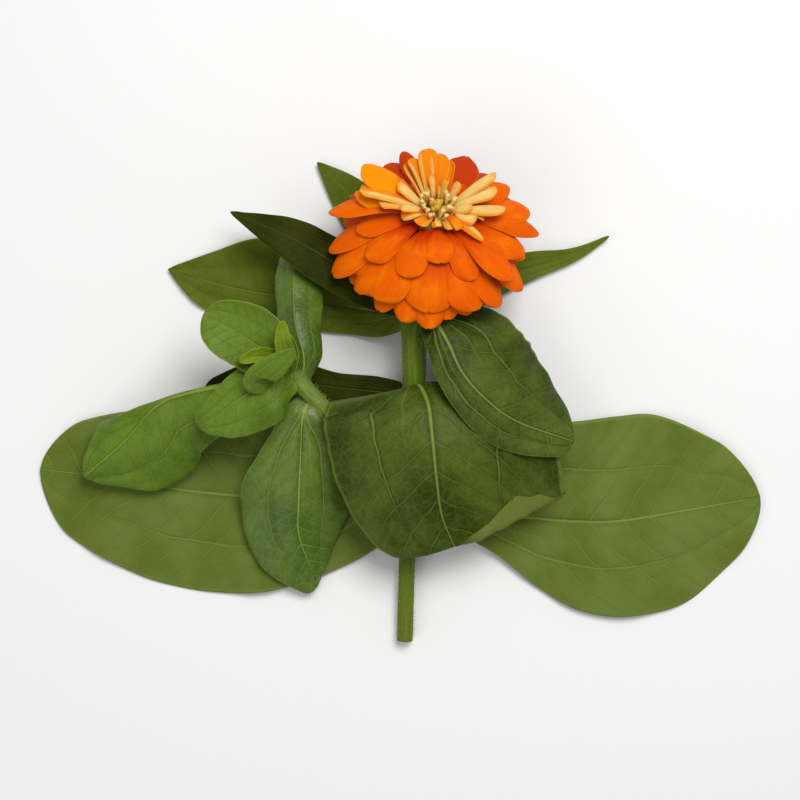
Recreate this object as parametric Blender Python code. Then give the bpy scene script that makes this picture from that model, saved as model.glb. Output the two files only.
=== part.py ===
"""A picked zinnia: a double orange bloom on its leafy stem, lying on a flat surface.

Z is up, the surface is z = 0, the stem runs along Y with its cut end at the low end, and the
bloom leans up from the surface at the high end. Shapes are laid out in a growing frame, in
millimetres, and moved at the end so that the footprint is centred on the origin.
"""

import bpy
import numpy as np

MM = 0.001
GROWING_FRAME_AT = np.array([4.3, -77.8, 0.0])  # moves the growing frame's origin, in mm
GOLDEN_ANGLE = np.radians(137.508)
GAP = 0.3  # clearance between touching pieces

# Bloom: its frame has the middle of the disc as origin and its axis as local Z.
BLOOM_AT = np.array([8.4, 143.6, 39.0])
BLOOM_AXIS = np.array([0.06, 0.67, 0.74])
NECK_DEPTH = 19.7  # from the disc down the axis to the top of the stem
NECK_STRAIGHT = 2.5
RAY_THICKNESS = 0.7
RAY_NOTCH = 0.04  # depth of the notch in a ray's tip, as a share of its length
CORE_PROFILE = [(0.0, -14.0), (6.4, -14.0), (8.4, -10.5), (7.8, -6.0), (6.4, -3.2), (0.0, -3.2)]
INNER_RAY_COUNT = 16
INNER_RING = [(2.9, -2.5), (5.0, -2.1), (5.0, 0.4), (2.9, 0.4)]
DISC_RADIUS = 2.6
DISC_PROFILE = [(0.0, -2.9), (DISC_RADIUS, -2.9), (DISC_RADIUS, 0.6), (1.4, 1.8), (0.0, 2.1)]
DISC_FLORETS = 13
CUP_PROFILE = [(0.0, -19.4), (4.8, -19.4), (7.6, -17.4), (8.2, -14.3), (0.0, -14.3)]
BRACT_ROWS = 2
BRACTS_A_ROW = 9
BRACT_THICKNESS = 0.7

# The orange ray florets in three tiers, each: degrees round the bloom, length, half width, slope
# at its foot and at its tip, foot's height below the disc, and the power of its tip, where 2.4
# is blunt and 1.3 pointed.
RAYS = {
    "upper": [
        (-80, 15.0, 6.3, 6, -52, -4.6, 2.4), (-114, 21.5, 6.7, 2, -56, -5.4, 2.4),
        (-149, 24.5, 6.6, 4, -48, -5.4, 2.2), (-173, 24.0, 5.4, 8, -34, -5.4, 2.2),
        (-52, 22.5, 6.0, 2, -56, -5.6, 2.4), (-29, 30.5, 6.6, 6, -46, -5.6, 2.2),
        (-6, 30.0, 7.4, 8, -44, -5.6, 2.2), (9, 36.0, 6.6, 18, -50, -5.6, 1.3),
        (19, 31.0, 6.6, 16, -28, -5.0, 2.0), (38, 27.5, 6.4, 28, -24, -5.0, 1.8),
        (175, 36.0, 6.0, 24, -46, -4.6, 1.5), (170, 25.0, 5.0, 20, -6, -4.0, 2.0),
        (152, 26.5, 5.8, 40, -12, -3.6, 2.2), (56, 18.0, 5.0, 48, 6, -4.0, 2.0),
        (76, 17.0, 5.0, 52, 10, -4.0, 2.0), (97, 17.5, 5.0, 52, 12, -4.0, 2.0),
        (118, 17.0, 5.0, 50, 10, -4.0, 2.0), (135, 18.0, 5.0, 46, 6, -4.0, 2.0)],
    "middle": [
        (-84, 27.5, 6.6, -8, -60, -8.6, 2.2), (-100, 26.0, 5.8, -8, -58, -9.0, 2.2),
        (-126, 31.0, 9.2, -4, -62, -8.2, 2.6), (-143, 33.0, 7.0, -2, -66, -8.8, 2.2),
        (-154, 29.5, 6.0, 0, -60, -7.8, 2.0), (-163, 38.0, 6.8, 2, -66, -8.2, 1.6),
        (-175, 37.0, 6.4, 8, -60, -7.4, 1.7), (-64, 29.5, 6.8, -8, -62, -8.8, 2.4),
        (-48, 32.0, 6.4, -6, -62, -8.4, 2.2), (-17, 36.0, 7.0, 0, -64, -8.2, 1.4),
        (152, 31.0, 6.6, 16, -36, -8.2, 1.5), (122, 33.0, 7.0, 14, -30, -8.0, 1.8),
        (112, 32.0, 4.2, 22, -14, -7.4, 1.3), (72, 33.0, 6.8, 18, -16, -8.0, 1.4),
        (60, 32.0, 7.2, 16, -26, -8.0, 1.8), (40, 30.0, 6.8, 10, -30, -8.0, 1.8),
        (2, 31.0, 6.4, 4, -52, -8.4, 2.0), (22, 31.0, 6.6, 8, -40, -8.2, 2.0),
        (90, 31.5, 6.6, 14, -24, -8.2, 2.0), (167, 30.0, 6.4, 8, -44, -8.2, 2.0)],
    "lower": [
        (-105, 30.5, 7.0, -16, -62, -11.0, 2.4), (-89, 31.0, 7.2, -16, -62, -11.4, 2.4),
        (-125, 30.5, 6.4, -14, -66, -11.2, 1.4), (-33, 32.0, 6.6, -10, -66, -10.6, 2.0),
        (-58, 28.0, 6.4, -16, -66, -11.2, 2.2), (-73, 28.0, 6.4, -18, -66, -11.2, 2.2),
        (-12, 31.0, 6.6, -8, -60, -11.0, 2.2), (10, 31.0, 6.6, -6, -54, -11.0, 2.2),
        (31, 31.0, 6.6, -4, -48, -11.0, 2.2), (52, 31.0, 6.6, -2, -44, -11.0, 2.2),
        (74, 31.0, 6.6, 0, -42, -11.0, 2.2), (95, 31.0, 6.6, 0, -42, -11.0, 2.2),
        (116, 31.0, 6.6, 0, -42, -11.0, 2.2), (138, 31.0, 6.6, -2, -46, -11.0, 2.2),
        (160, 31.0, 6.6, -4, -52, -11.0, 2.2), (181, 31.0, 6.6, -8, -58, -11.0, 2.2),
        (202, 31.0, 6.6, -10, -62, -11.0, 2.2), (219, 29.0, 6.4, -12, -64, -11.2, 2.2)],
}

# Stem: its centre line from the cut end up to the last leaves, and its radius along it.
STEM_PATH = [(-2.6, -10.8, 3.0), (-1.8, 18.0, 5.6), (-0.6, 48.0, 10.4), (0.6, 80.0, 15.8),
             (0.8, 104.0, 18.6), (2.8, 118.0, 18.6)]
STEM_RADII = [3.0, 3.0, 3.1, 3.3, 4.2, 4.8, 4.8]
STEM_SIDES = 12
STEM_RINGS = 24

# The side shoot's own stem.
SHOOT_PATH = [(-1.0, 44.0, 11.5), (-14.0, 57.0, 15.0), (-28.0, 70.5, 18.5), (-38.0, 81.0, 23.0),
              (-43.0, 87.0, 27.0), (-46.5, 89.5, 32.0)]
SHOOT_RADII = [2.9, 2.7, 2.7, 2.8, 3.6, 3.2]
SHOOT_SIDES = 10
SHOOT_RINGS = 12

LEAF_THICKNESS = 0.8
LEAF_ROWS = 10
LEAF_COLUMNS = 6

# Each leaf: its midrib from the stem to the tip, the way its upper face looks at the base and at
# the tip, its half widths to the right and left at even stations along it, the share of its
# length that rounds off the tip, and how each half bends away from the flat in degrees: at the
# midrib (fold) and added by the margin (curl). wave is the ripple of the margin, sweep carries a
# margin back at the base and forward at the tip, and over is where a margin is folded over.
LEAVES = {
    "leaf_left_large": dict(
        midrib=[(0, 38.5, 8.2), (-9, 38.5, 5.5), (-35.5, 40, 2.6), (-63.5, 42, 2),
                (-87.5, 44.5, 1.8), (-117.5, 49.5, 1.8), (-135.5, 51.5, 1.6)],
        face=[(-0.1, 0, 1), (0, 0, 1)], right=(4, 15, 22, 27, 29, 29, 27, 21, 13),
        left=(4, 19, 28, 34, 36, 35, 31, 25, 15), blunt=0.10, fold=(0, 0), curl=(-3, -5), wave=1.4),
    "leaf_right_large": dict(
        midrib=[(0, 38.5, 8.6), (11, 36.5, 6.5), (40.5, 34, 3), (71, 32.5, 2.4),
                (96.5, 36, 2.2), (127, 41.5, 1.8)],
        face=[(0.1, 0, 1), (0, 0, 1)], right=(4, 7, 14, 25, 33, 35, 33, 23, 11),
        left=(4, 16, 27, 34, 37, 38, 36, 26, 13), blunt=0.09, fold=(1, 1), curl=(-6, -4), wave=1.4),
    "leaf_front": dict(
        midrib=[(0.5, 82, 17), (2.5, 82.5, 26), (5.5, 75.5, 33.5), (7, 63, 36),
                (8.5, 49, 33), (10.5, 36, 28), (15, 25, 23)],
        face=[(0, 0.7, 0.7), (0, 0, 1)], right=(32, 36.5, 37, 38, 37.5, 34, 28, 19),
        left=(7, 34, 42, 46, 47, 47, 44, 12), blunt=0.06, fold=(-4, -8), curl=(-20, -20), wave=0.9,
        sweep={0: (8, 1), 1: (0, 9)}, over={1: (60, 60, 60, 60, 60, 45, 35, 5)}),
    "leaf_right_front": dict(
        midrib=[(3.5, 110.5, 24), (8, 104.5, 29), (12.5, 97, 33), (17, 87.5, 35.5),
                (24.5, 78.5, 35.5), (36.5, 69.5, 32.5), (57, 62, 25)],
        face=[(0.1, 0.4, 0.9), (0.2, 0.4, 0.9)], right=(3, 6.5, 9, 10, 11.5, 11.5, 9, 5),
        left=(6, 22, 27, 30, 31, 28, 21.5, 10), blunt=0.05, fold=(-16, -4), curl=(-22, -14),
        wave=0.6),
    "leaf_left_high": dict(
        midrib=[(1, 110, 19), (-6.5, 113, 20), (-23.5, 123, 19), (-42.5, 134, 22.5),
                (-64.5, 143.5, 21.5)],
        face=[(0, 0.1, 1), (0.1, 0.3, 1)], right=(4, 9, 10, 9, 6, 0.5),
        left=(4, 8, 9.5, 9, 5.5, 0.5), blunt=0.03, fold=(-8, -4), curl=(-8, -12), wave=0.4),
    "leaf_left_low": dict(
        midrib=[(0.5, 105.5, 16), (-8.5, 108, 9), (-24.5, 111, 3.6), (-50.5, 115, 1.8),
                (-70.5, 119, 1.6), (-89, 124.5, 1.6)],
        face=[(0, 0, 1), (0, 0, 1)], right=(3, 8, 14, 19, 21, 18.5, 10.5, 0.5),
        left=(3, 9, 10, 10.5, 11.5, 12, 9, 0.5), blunt=0.03, fold=(0, -4), curl=(4, -4), wave=0.8),
    "leaf_right_low": dict(
        midrib=[(1.5, 105, 15), (8.5, 109.5, 9.5), (26.5, 120, 4.5), (44, 125.5, 2.4),
                (59, 129.5, 1.8), (72, 136.5, 2.4)],
        face=[(0, 0.2, 1), (0, -0.1, 1)], right=(4, 8, 7.5, 5, 2.5, 0.5), left=(4, 7, 7, 6, 3, 0.5),
        blunt=0.03, fold=(6, 10), curl=(6, 8), wave=0.4),
    "leaf_back_high": dict(
        midrib=[(2, 119, 15.5), (-3.5, 125, 8.5), (-12.5, 138, 2.4), (-23, 152, 1.4),
                (-34.5, 163.5, 2)],
        face=[(-0.3, -0.5, 1), (0, 0, 1)], right=(4, 8, 9.5, 9, 5.5, 0.5),
        left=(4, 7, 9, 9, 6, 0.5), blunt=0.03, fold=(0, 0), curl=(4, 4), wave=0.3),
    "leaf_left_middle": dict(
        midrib=[(0, 77, 13), (-6.5, 79, 7), (-24, 81, 2.4), (-47.5, 83, 1.4),
                (-75.5, 80.5, 1.4)],
        face=[(-0.2, 0, 1), (0, 0, 1)], right=(4, 5.5, 5.5, 8.5, 8, 3), left=(4, 8, 9, 9, 7, 3),
        blunt=0.05, fold=(0, 0), curl=(4, 3), wave=0.6),
}

SHOOT_LEAVES = {
    "long": dict(
        midrib=[(-40, 84, 24.5), (-47.5, 84.5, 28), (-60.5, 82.5, 29), (-77.5, 79.5, 27.5),
                (-90.5, 74.5, 24.5), (-102.5, 61.5, 19), (-117, 51, 12)],
        face=[(-0.2, 0, 1), (0.1, -0.2, 1)], right=(4, 2, 1.5, 1.5, 2.5, 10, 15, 10),
        left=(5, 14, 18, 21, 24, 27, 21, 9), blunt=0.05, fold=(-30, -2), curl=(-34, -26), wave=1.2),
    "short": dict(
        midrib=[(-40.5, 85.5, 26), (-48, 84, 33), (-57, 79, 35), (-65.5, 73.5, 33),
                (-75.5, 68, 29)],
        face=[(-0.4, 0, 1), (0, 0, 1)], right=(4, 9, 9, 7, 3), left=(5, 12.5, 14, 11, 4),
        blunt=0.06, fold=(4, 0), curl=(-8, -24), wave=0.4),
    "round": dict(
        midrib=[(-43, 87.5, 27.5), (-48, 92, 34), (-55.5, 97, 37), (-63.5, 102, 39.5),
                (-72, 106, 42)],
        face=[(-0.7, 0.3, 0.7), (0, 0, 1)], right=(4, 10, 12.5, 11, 5.5), left=(4, 9, 11, 11, 7),
        blunt=0.10, fold=(2, 2), curl=(34, 34), wave=0.3),
    "upright": dict(
        midrib=[(-39, 83, 23.5), (-38, 92, 27.5), (-41, 104, 26), (-42, 117.5, 20.5),
                (-41.5, 131.5, 15)],
        face=[(0.2, -0.5, 0.8), (0, 0.3, 1)], right=(4, 8.5, 10.5, 12, 11),
        left=(4, 7, 8, 8.5, 7.5), blunt=0.06, fold=(-16, -30), curl=(-30, -16), wave=0.4),
    "hanging": dict(
        midrib=[(-36, 77, 21), (-38.5, 71, 24), (-39.5, 57, 21), (-40.5, 40.5, 16),
                (-40.5, 27.5, 11), (-34, 9.5, 6)],
        face=[(0, 0.3, 1), (0, 0, 1)], right=(5, 10.5, 16.5, 22, 21, 14, 3),
        left=(5, 11, 14.5, 18, 19, 12.5, 0.5), blunt=0.03, fold=(-4, -8), curl=(-22, -26), wave=0.8,
        sweep={0: (0, 4)}),
}

# The three smallest leaves, round the shoot's growing tip.
SHOOT_BUDS = {
    "bud_left": dict(
        midrib=[(-41.5, 87.5, 27), (-47.5, 91, 37), (-53.5, 92, 41), (-59.5, 90, 43)],
        face=[(-0.7, 0.2, 0.7), (0, 0, 1)], right=(2, 3.5, 3.5, 1.5), left=(2, 3.5, 3.5, 1.5),
        blunt=0.08, fold=(26, 26), curl=(14, 14), wave=0),
    "bud_right": dict(
        midrib=[(-42, 87.5, 27), (-44, 91.5, 36), (-45, 97.5, 42), (-44.5, 104, 45)],
        face=[(0, -0.7, 0.7), (0.2, 0, 1)], right=(2, 3.8, 3.8, 1.5), left=(2, 3, 3, 1.5),
        blunt=0.08, fold=(20, 20), curl=(10, 10), wave=0),
    "bud_front": dict(
        midrib=[(-42, 86, 27), (-49, 83.5, 35), (-53.5, 83.5, 40.5), (-50, 87, 44),
                (-40, 94, 46)],
        face=[(-0.8, 0, 0.5), (0.3, -0.4, 1)], right=(3, 5, 6, 5.5, 2), left=(3, 5, 5, 4, 1.5),
        blunt=0.08, fold=(0, 0), curl=(-10, -10), wave=0),
}


def clear_scene():
    for thing in list(bpy.data.objects):
        bpy.data.objects.remove(thing)


def make_material(name, colour, roughness):
    material = bpy.data.materials.new(name)
    material.use_nodes = True
    shader = material.node_tree.nodes["Principled BSDF"]
    shader.inputs["Base Color"].default_value = (*colour, 1.0)
    shader.inputs["Roughness"].default_value = roughness
    shader.inputs["Metallic"].default_value = 0.0
    return material


def unit(vectors):
    vectors = np.asarray(vectors, float)
    return vectors / np.linalg.norm(vectors, axis=-1, keepdims=True)


def smooth_path(points, count):
    """count points on a Catmull-Rom curve through the given points, evenly spread along it."""
    points = np.asarray(points, float)
    padded = np.vstack([2 * points[0] - points[1], points, 2 * points[-1] - points[-2]])
    t = np.linspace(0, len(points) - 1, 40 * len(points))
    span = np.minimum(t.astype(int), len(points) - 2)
    f = (t - span)[:, None]
    a, b, c, d = (padded[span + k] for k in range(4))
    curve = 0.5 * (2 * b + (c - a) * f + (2 * a - 5 * b + 4 * c - d) * f**2
                   + (3 * b - a - 3 * c + d) * f**3)
    along = np.concatenate([[0], np.cumsum(np.linalg.norm(np.diff(curve, axis=0), axis=1))])
    wanted = np.linspace(0, along[-1], count)
    return np.stack([np.interp(wanted, along, curve[:, k]) for k in range(3)], axis=1)


def bloom_frame():
    """The bloom's local X, Y and Z as rows: X stays level, Z is the axis."""
    axis = unit(BLOOM_AXIS)
    across = unit(np.cross(axis, [0.0, 0.0, 1.0]))
    return np.stack([across, np.cross(axis, across), axis])


def to_growing_frame(points):
    return BLOOM_AT + points @ bloom_frame()


def rest_on_surface(points, half_thickness, softness=1.2):
    """Bends what would sink through the surface so that it lies along it."""
    lifted = points.copy()
    height = (points[..., 2] - half_thickness) / softness
    lifted[..., 2] = half_thickness + softness * np.logaddexp(0, height)
    return np.where(points[..., 2:3] > 8 * softness, points, lifted)


def mesh_object(name, vertices, faces, material):
    mesh = bpy.data.meshes.new(name)
    mesh.from_pydata((np.asarray(vertices) + GROWING_FRAME_AT) * MM, [], faces)
    mesh.materials.append(material)
    thing = bpy.data.objects.new(name, mesh)
    bpy.context.scene.collection.objects.link(thing)
    return thing


def add_blade(name, grid, thickness, material):
    """A thin closed blade round a grid of points, triangulated alike on both faces."""
    rows, columns = grid.shape[:2]
    faces = []
    for row in range(rows - 1):
        for column in range(columns - 1):
            a = row * columns + column
            b, c, d = a + 1, a + columns + 1, a + columns
            faces += [(a, b, c), (a, c, d)]
    blade = mesh_object(name, grid.reshape(-1, 3), faces, material)
    solidify = blade.modifiers.new("thickness", "SOLIDIFY")
    solidify.thickness = thickness * MM
    solidify.offset = 0.0
    return blade


def add_tube(name, path, radii, sides, material):
    """A closed round tube along a path, one radius at each of its points."""
    tangent = unit(np.gradient(path, axis=0))
    side = unit(np.cross(tangent, [0.0, 0.0, 1.0]))
    up = np.cross(side, tangent)
    turn = np.linspace(0, 2 * np.pi, sides, endpoint=False)[None, :, None]
    rings = path[:, None] + np.asarray(radii)[:, None, None] * (
        np.cos(turn) * side[:, None] - np.sin(turn) * up[:, None])
    faces = [tuple(reversed(range(sides))), tuple(range((len(path) - 1) * sides, len(path) * sides))]
    for ring in range(len(path) - 1):
        for k in range(sides):
            a, b = ring * sides + k, ring * sides + (k + 1) % sides
            faces.append((a, b, b + sides, a + sides))
    return mesh_object(name, rings.reshape(-1, 3), faces, material)


def add_turned(name, profile, sides, material):
    """A closed solid turned about the bloom's axis from (radius, height) points, bottom to top."""
    vertices, rings = [], []
    for radius, height in profile:
        count = 1 if radius == 0 else sides
        turn = np.linspace(0, 2 * np.pi, count, endpoint=False)
        rings.append(list(range(len(vertices), len(vertices) + count)))
        vertices += [(radius * np.cos(t), radius * np.sin(t), height) for t in turn]
    pairs = list(zip(rings, rings[1:]))
    if profile[0][0] > 0:
        pairs.append((rings[-1], rings[0]))
    faces = []
    for low, high in pairs:
        for k in range(sides):
            corners = [low[k % len(low)], low[(k + 1) % len(low)],
                       high[(k + 1) % len(high)], high[k % len(high)]]
            faces.append(tuple(dict.fromkeys(corners)))
    return mesh_object(name, to_growing_frame(np.array(vertices)), faces, material)


def join_into(body, pieces, solver="MANIFOLD"):
    """One Boolean union of the pieces into the body, applied. MANIFOLD is the quicker solver for
    the many petals."""
    group = bpy.data.collections.new(body.name + "_repeats")
    bpy.context.scene.collection.children.link(group)
    for piece in pieces:
        bpy.context.scene.collection.objects.unlink(piece)
        group.objects.link(piece)
    union = body.modifiers.new("repeats", "BOOLEAN")
    union.operation = "UNION"
    union.operand_type = "COLLECTION"
    union.collection = group
    union.solver = solver
    bpy.context.view_layer.objects.active = body
    bpy.ops.object.modifier_apply(modifier=union.name)
    for piece in pieces:
        bpy.data.objects.remove(piece)
    bpy.data.collections.remove(group)
    return body


def through_stations(values, u):
    """A smooth curve through values that stand evenly spaced over u from 0 to 1."""
    values = np.asarray(values, float)
    padded = np.concatenate([2 * values[:1] - values[1:2], values, 2 * values[-1:] - values[-2:-1]])
    place = u * (len(values) - 1)
    k = np.minimum(place.astype(int), len(values) - 2)
    f = place - k
    a, b, c, d = (padded[k + i] for i in range(4))
    return 0.5 * (2 * b + (c - a) * f + (2 * a - 5 * b + 4 * c - d) * f**2
                  + (3 * b - a - 3 * c + d) * f**3)


def leaf_grid(leaf, rows, columns):
    """Points of a leaf's middle surface. Each half is a line walked out from the midrib, whose
    slope starts at the fold and gains the curl towards the margin. What is folded over is left
    out."""
    u = 1 - (1 - np.linspace(0, 1, rows)) ** 1.25
    fine = np.linspace(0, 1, 241)
    curve = smooth_path(leaf["midrib"], 241)
    path, ahead, behind = (np.stack([np.interp(np.clip(at, 0, 1), fine, curve[:, k])
                                     for k in range(3)], axis=1) for at in (u, u + 0.1, u - 0.1))
    tangent = unit(ahead - behind)
    axis = unit(curve[-1] - curve[0])
    start, end = (unit(np.array(f, float)) for f in leaf["face"])
    blend = np.clip(u / 0.45, 0, 1)[:, None]
    face = unit(start * (1 - blend) + end * blend)
    side = unit(np.cross(tangent, face))
    face = np.cross(side, tangent)
    closing = np.clip((u - 1 + leaf["blunt"]) / leaf["blunt"], 0, 1)
    closing = np.sqrt(np.maximum(1 - closing**2, 0.01))
    steps = 24
    known = np.linspace(0, 1, steps + 1)
    wanted = np.linspace(0, 1, columns // 2 + 1)
    halves = []
    for which, sign, edge in ((1, -1, leaf["left"]), (0, 1, leaf["right"])):
        reach = through_stations(edge, u)
        if which in leaf.get("over", {}):
            reach = np.minimum(reach, through_stations(leaf["over"][which], u) + 1.2)
        reach = (np.maximum(reach, 0.6) * closing)[:, None]
        t = (np.arange(steps) + 0.5) / steps
        slope = np.radians(leaf["fold"][which] + leaf["curl"][which] * t**1.5)
        out = np.concatenate([[0], np.cumsum(np.cos(slope))]) / steps
        lift = np.concatenate([[0], np.cumsum(np.sin(slope))]) / steps
        out, lift = np.interp(wanted, known, out), np.interp(wanted, known, lift)
        ripple = leaf["wave"] * wanted**2 * np.sin(u[:, None] * 15 + which * 2.2)
        ripple = ripple * np.minimum(1, 5 * u[:, None]) * np.minimum(1, reach / 8)
        back, forward = leaf.get("sweep", {}).get(which, (0, 0))
        shift = (closing * (forward * u**2 - back * (1 - u) ** 2))[:, None] * wanted**2
        half = (path[:, None] + shift[..., None] * axis + sign * side[:, None]
                * (out * reach)[..., None] + face[:, None] * (lift * reach + ripple)[..., None])
        halves.append(half[:, ::-1] if sign < 0 else half[:, 1:])
    grid = np.concatenate(halves, axis=1)
    return rest_on_surface(grid, LEAF_THICKNESS / 2)


def ray_grid(ray, rows, columns):
    """Points of a ray floret's middle surface in the growing frame. It leaves the core along a
    curve in its own upright plane, widens to a rounded blade, and is bent across its width."""
    t = np.linspace(0, 1, rows) ** 0.85
    v = np.linspace(-1, 1, columns)
    steps = 60
    fine = (np.arange(steps) + 0.5) / steps
    slope = np.radians(ray["leave"] + (ray["droop"] - ray["leave"]) * fine)
    run = np.concatenate([[0], np.cumsum(np.cos(slope))]) * ray["length"] / steps
    climb = np.concatenate([[0], np.cumsum(np.sin(slope))]) * ray["length"] / steps
    reach = t[:, None] * (1 - t[:, None] ** 3 * RAY_NOTCH * (1 - v[None, :] ** 2) ** 2)
    known = np.linspace(0, 1, steps + 1)
    radius = ray["root"] + np.interp(reach, known, run)
    height = ray["base"] + np.interp(reach, known, climb)
    tilt = np.interp(reach, known, np.append(slope, slope[-1]))
    opening = 0.3 + 0.7 * np.sin(np.pi / 2 * np.clip(t / 0.68, 0, 1)) ** 1.4
    closing = np.sqrt(1 - 0.94 * np.clip((t - 0.68) / 0.32, 0, 1) ** ray["tip"])
    width = ray["half"] * opening * closing
    across = width[:, None] * v[None, :]
    cup = ray["cup"] * width[:, None] * v[None, :] ** 2
    radius -= cup * np.sin(tilt)
    height += cup * np.cos(tilt)
    turn = ray["turn"]
    x = radius * np.cos(turn) - across * np.sin(turn)
    y = radius * np.sin(turn) + across * np.cos(turn)
    points = to_growing_frame(np.stack([x, y, height], axis=-1))
    return rest_on_surface(points, RAY_THICKNESS / 2)


def ray_florets():
    """The orange ray florets, bent back below and upright above."""
    rays = []
    for turn, length, half, leave, droop, base, tip in sum(RAYS.values(), []):
        rays.append(dict(turn=np.radians(turn), length=length, half=half, leave=leave,
                         droop=droop, base=base, tip=tip, root=3.4 - 0.25 * base, cup=-0.18))
    return rays


def inner_ray_florets():
    """The young pale rays between the orange ones and the disc, still narrow and channelled, and
    longer on the far side of the bloom."""
    rays = []
    for k in range(INNER_RAY_COUNT):
        turn = k * 2 * np.pi / INNER_RAY_COUNT
        far, upright = np.sin(turn), k % 3
        rays.append(dict(
            turn=turn, root=4.2, base=-0.6, leave=42 + 24 * far + 3 * upright,
            droop=10 + 34 * far + 3 * upright, length=11.0 + 5.0 * far - 0.6 * upright, half=1.7,
            cup=0.5, tip=2.0))
    return rays


def build_bloom(orange, cream, yellow):
    core = add_turned("ray_florets", CORE_PROFILE, 16, orange)
    petals = [add_blade(f"ray_{k}", ray_grid(ray, 6, 4), RAY_THICKNESS, orange)
              for k, ray in enumerate(ray_florets())]
    join_into(core, petals)

    ring = add_turned("inner_ray_florets", INNER_RING, 16, cream)
    young = [add_blade(f"inner_ray_{k}", ray_grid(ray, 4, 3), RAY_THICKNESS, cream)
             for k, ray in enumerate(inner_ray_florets())]
    join_into(ring, young)

    dome = add_turned("disc_florets", DISC_PROFILE, 14, yellow)
    tubes = []
    for k in range(DISC_FLORETS):
        turn = k * GOLDEN_ANGLE
        out = 0.8 * DISC_RADIUS * np.sqrt((k + 0.4) / DISC_FLORETS)
        outward = np.array([np.cos(turn), np.sin(turn), 0.0])
        foot = out * outward
        tip = foot + 0.5 * out * outward + np.array([0.0, 0.0, 5.6 - 1.2 * (k % 2)])
        path = to_growing_frame(np.linspace(foot, tip, 3))
        tubes.append(add_tube(f"disc_floret_{k}", path, [0.45, 0.4, 0.6], 5, yellow))
    join_into(dome, tubes)


def build_cup(green):
    """The green cup of overlapping bracts under the bloom."""
    cup = add_turned("involucre", CUP_PROFILE, 16, green)
    bracts = []
    for row in range(BRACT_ROWS):
        for k in range(BRACTS_A_ROW):
            bract = dict(
                turn=(k + 0.5 * row) * 2 * np.pi / BRACTS_A_ROW, root=4.4 + 1.6 * row,
                base=-18.5 + 1.6 * row, leave=30 + 24 * row, droop=62 + 14 * row,
                length=4.8 - 1.9 * row, half=2.6, cup=0.12, tip=2.0)
            bracts.append(add_blade(f"bract_{row}_{k}", ray_grid(bract, 4, 3), BRACT_THICKNESS,
                                    green))
    return join_into(cup, bracts)


def stem_line():
    """The stem's centre line, whose last stretch runs straight into the bloom's axis."""
    axis = unit(BLOOM_AXIS)
    neck = BLOOM_AT - NECK_DEPTH * axis
    return np.vstack([smooth_path([*STEM_PATH, neck - NECK_STRAIGHT * axis], STEM_RINGS - 1), neck])


def spread(values, count):
    """count values read evenly along a list of them."""
    return np.interp(np.linspace(0, 1, count), np.linspace(0, 1, len(values)), values)


def trim_to(thing, room):
    """Cuts away what would reach into the stem and its clearance."""
    trim = thing.modifiers.new("trim_to_stem", "BOOLEAN")
    trim.operation = "DIFFERENCE"
    trim.object = room


def build_stem(green):
    """The stem, and a helper a little fatter than it that the leaves are trimmed to."""
    path, radii = stem_line(), spread(STEM_RADII, STEM_RINGS)
    add_tube("stem", path, radii, STEM_SIDES, green)
    room = add_tube("stem_clearance", path, radii + GAP, STEM_SIDES, green)
    room.hide_render = True
    room.display_type = "WIRE"
    return room


def build_leaves(room, green):
    for name, leaf in LEAVES.items():
        grid = leaf_grid(leaf, LEAF_ROWS, LEAF_COLUMNS + 1)
        trim_to(add_blade(name, grid, LEAF_THICKNESS, green), room)


def build_side_shoot(room, green):
    path = smooth_path(SHOOT_PATH, SHOOT_RINGS)
    shoot = add_tube("side_shoot", path, spread(SHOOT_RADII, SHOOT_RINGS), SHOOT_SIDES, green)
    grids = {name: leaf_grid(leaf, LEAF_ROWS - 1, LEAF_COLUMNS + 1)
             for name, leaf in SHOOT_LEAVES.items()}
    grids |= {name: leaf_grid(leaf, 6, 5) for name, leaf in SHOOT_BUDS.items()}
    blades = [add_blade(f"shoot_leaf_{name}", grid, LEAF_THICKNESS, green)
              for name, grid in grids.items()]
    trim_to(join_into(shoot, blades), room)


def main():
    clear_scene()
    orange = make_material("ray_orange", (0.95, 0.20, 0.005), 0.5)
    cream = make_material("young_ray_cream", (0.86, 0.62, 0.22), 0.5)
    yellow = make_material("disc_yellow", (0.72, 0.47, 0.06), 0.55)
    green = make_material("stem_green", (0.16, 0.26, 0.04), 0.55)
    leaf_green = make_material("leaf_green", (0.07, 0.15, 0.02), 0.45)
    shoot_green = make_material("shoot_green", (0.10, 0.22, 0.02), 0.4)
    room = build_stem(green)
    build_leaves(room, leaf_green)
    build_side_shoot(room, shoot_green)
    build_bloom(orange, cream, yellow)
    build_cup(green)


main()
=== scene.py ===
from types import SimpleNamespace
import bpy
import numpy as np
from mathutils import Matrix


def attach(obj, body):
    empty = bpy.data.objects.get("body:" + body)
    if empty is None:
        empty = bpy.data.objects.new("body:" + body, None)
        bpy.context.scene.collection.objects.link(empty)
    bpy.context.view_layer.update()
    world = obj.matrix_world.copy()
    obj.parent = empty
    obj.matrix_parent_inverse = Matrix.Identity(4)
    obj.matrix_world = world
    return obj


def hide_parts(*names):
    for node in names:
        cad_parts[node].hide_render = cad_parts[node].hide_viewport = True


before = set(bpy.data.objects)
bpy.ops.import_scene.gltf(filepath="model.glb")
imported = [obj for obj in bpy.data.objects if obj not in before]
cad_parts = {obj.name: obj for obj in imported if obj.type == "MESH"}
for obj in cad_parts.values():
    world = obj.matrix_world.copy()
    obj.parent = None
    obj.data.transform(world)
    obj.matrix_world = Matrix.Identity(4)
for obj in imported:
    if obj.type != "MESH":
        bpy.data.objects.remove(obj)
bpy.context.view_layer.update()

# Everything is laid out in a growing frame in millimetres: the cut end of the stem low on Y, the
# bloom high on Y, the surface at z = 0. growingFrameAt moves it onto the model's own frame.
mm = 0.001
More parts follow.
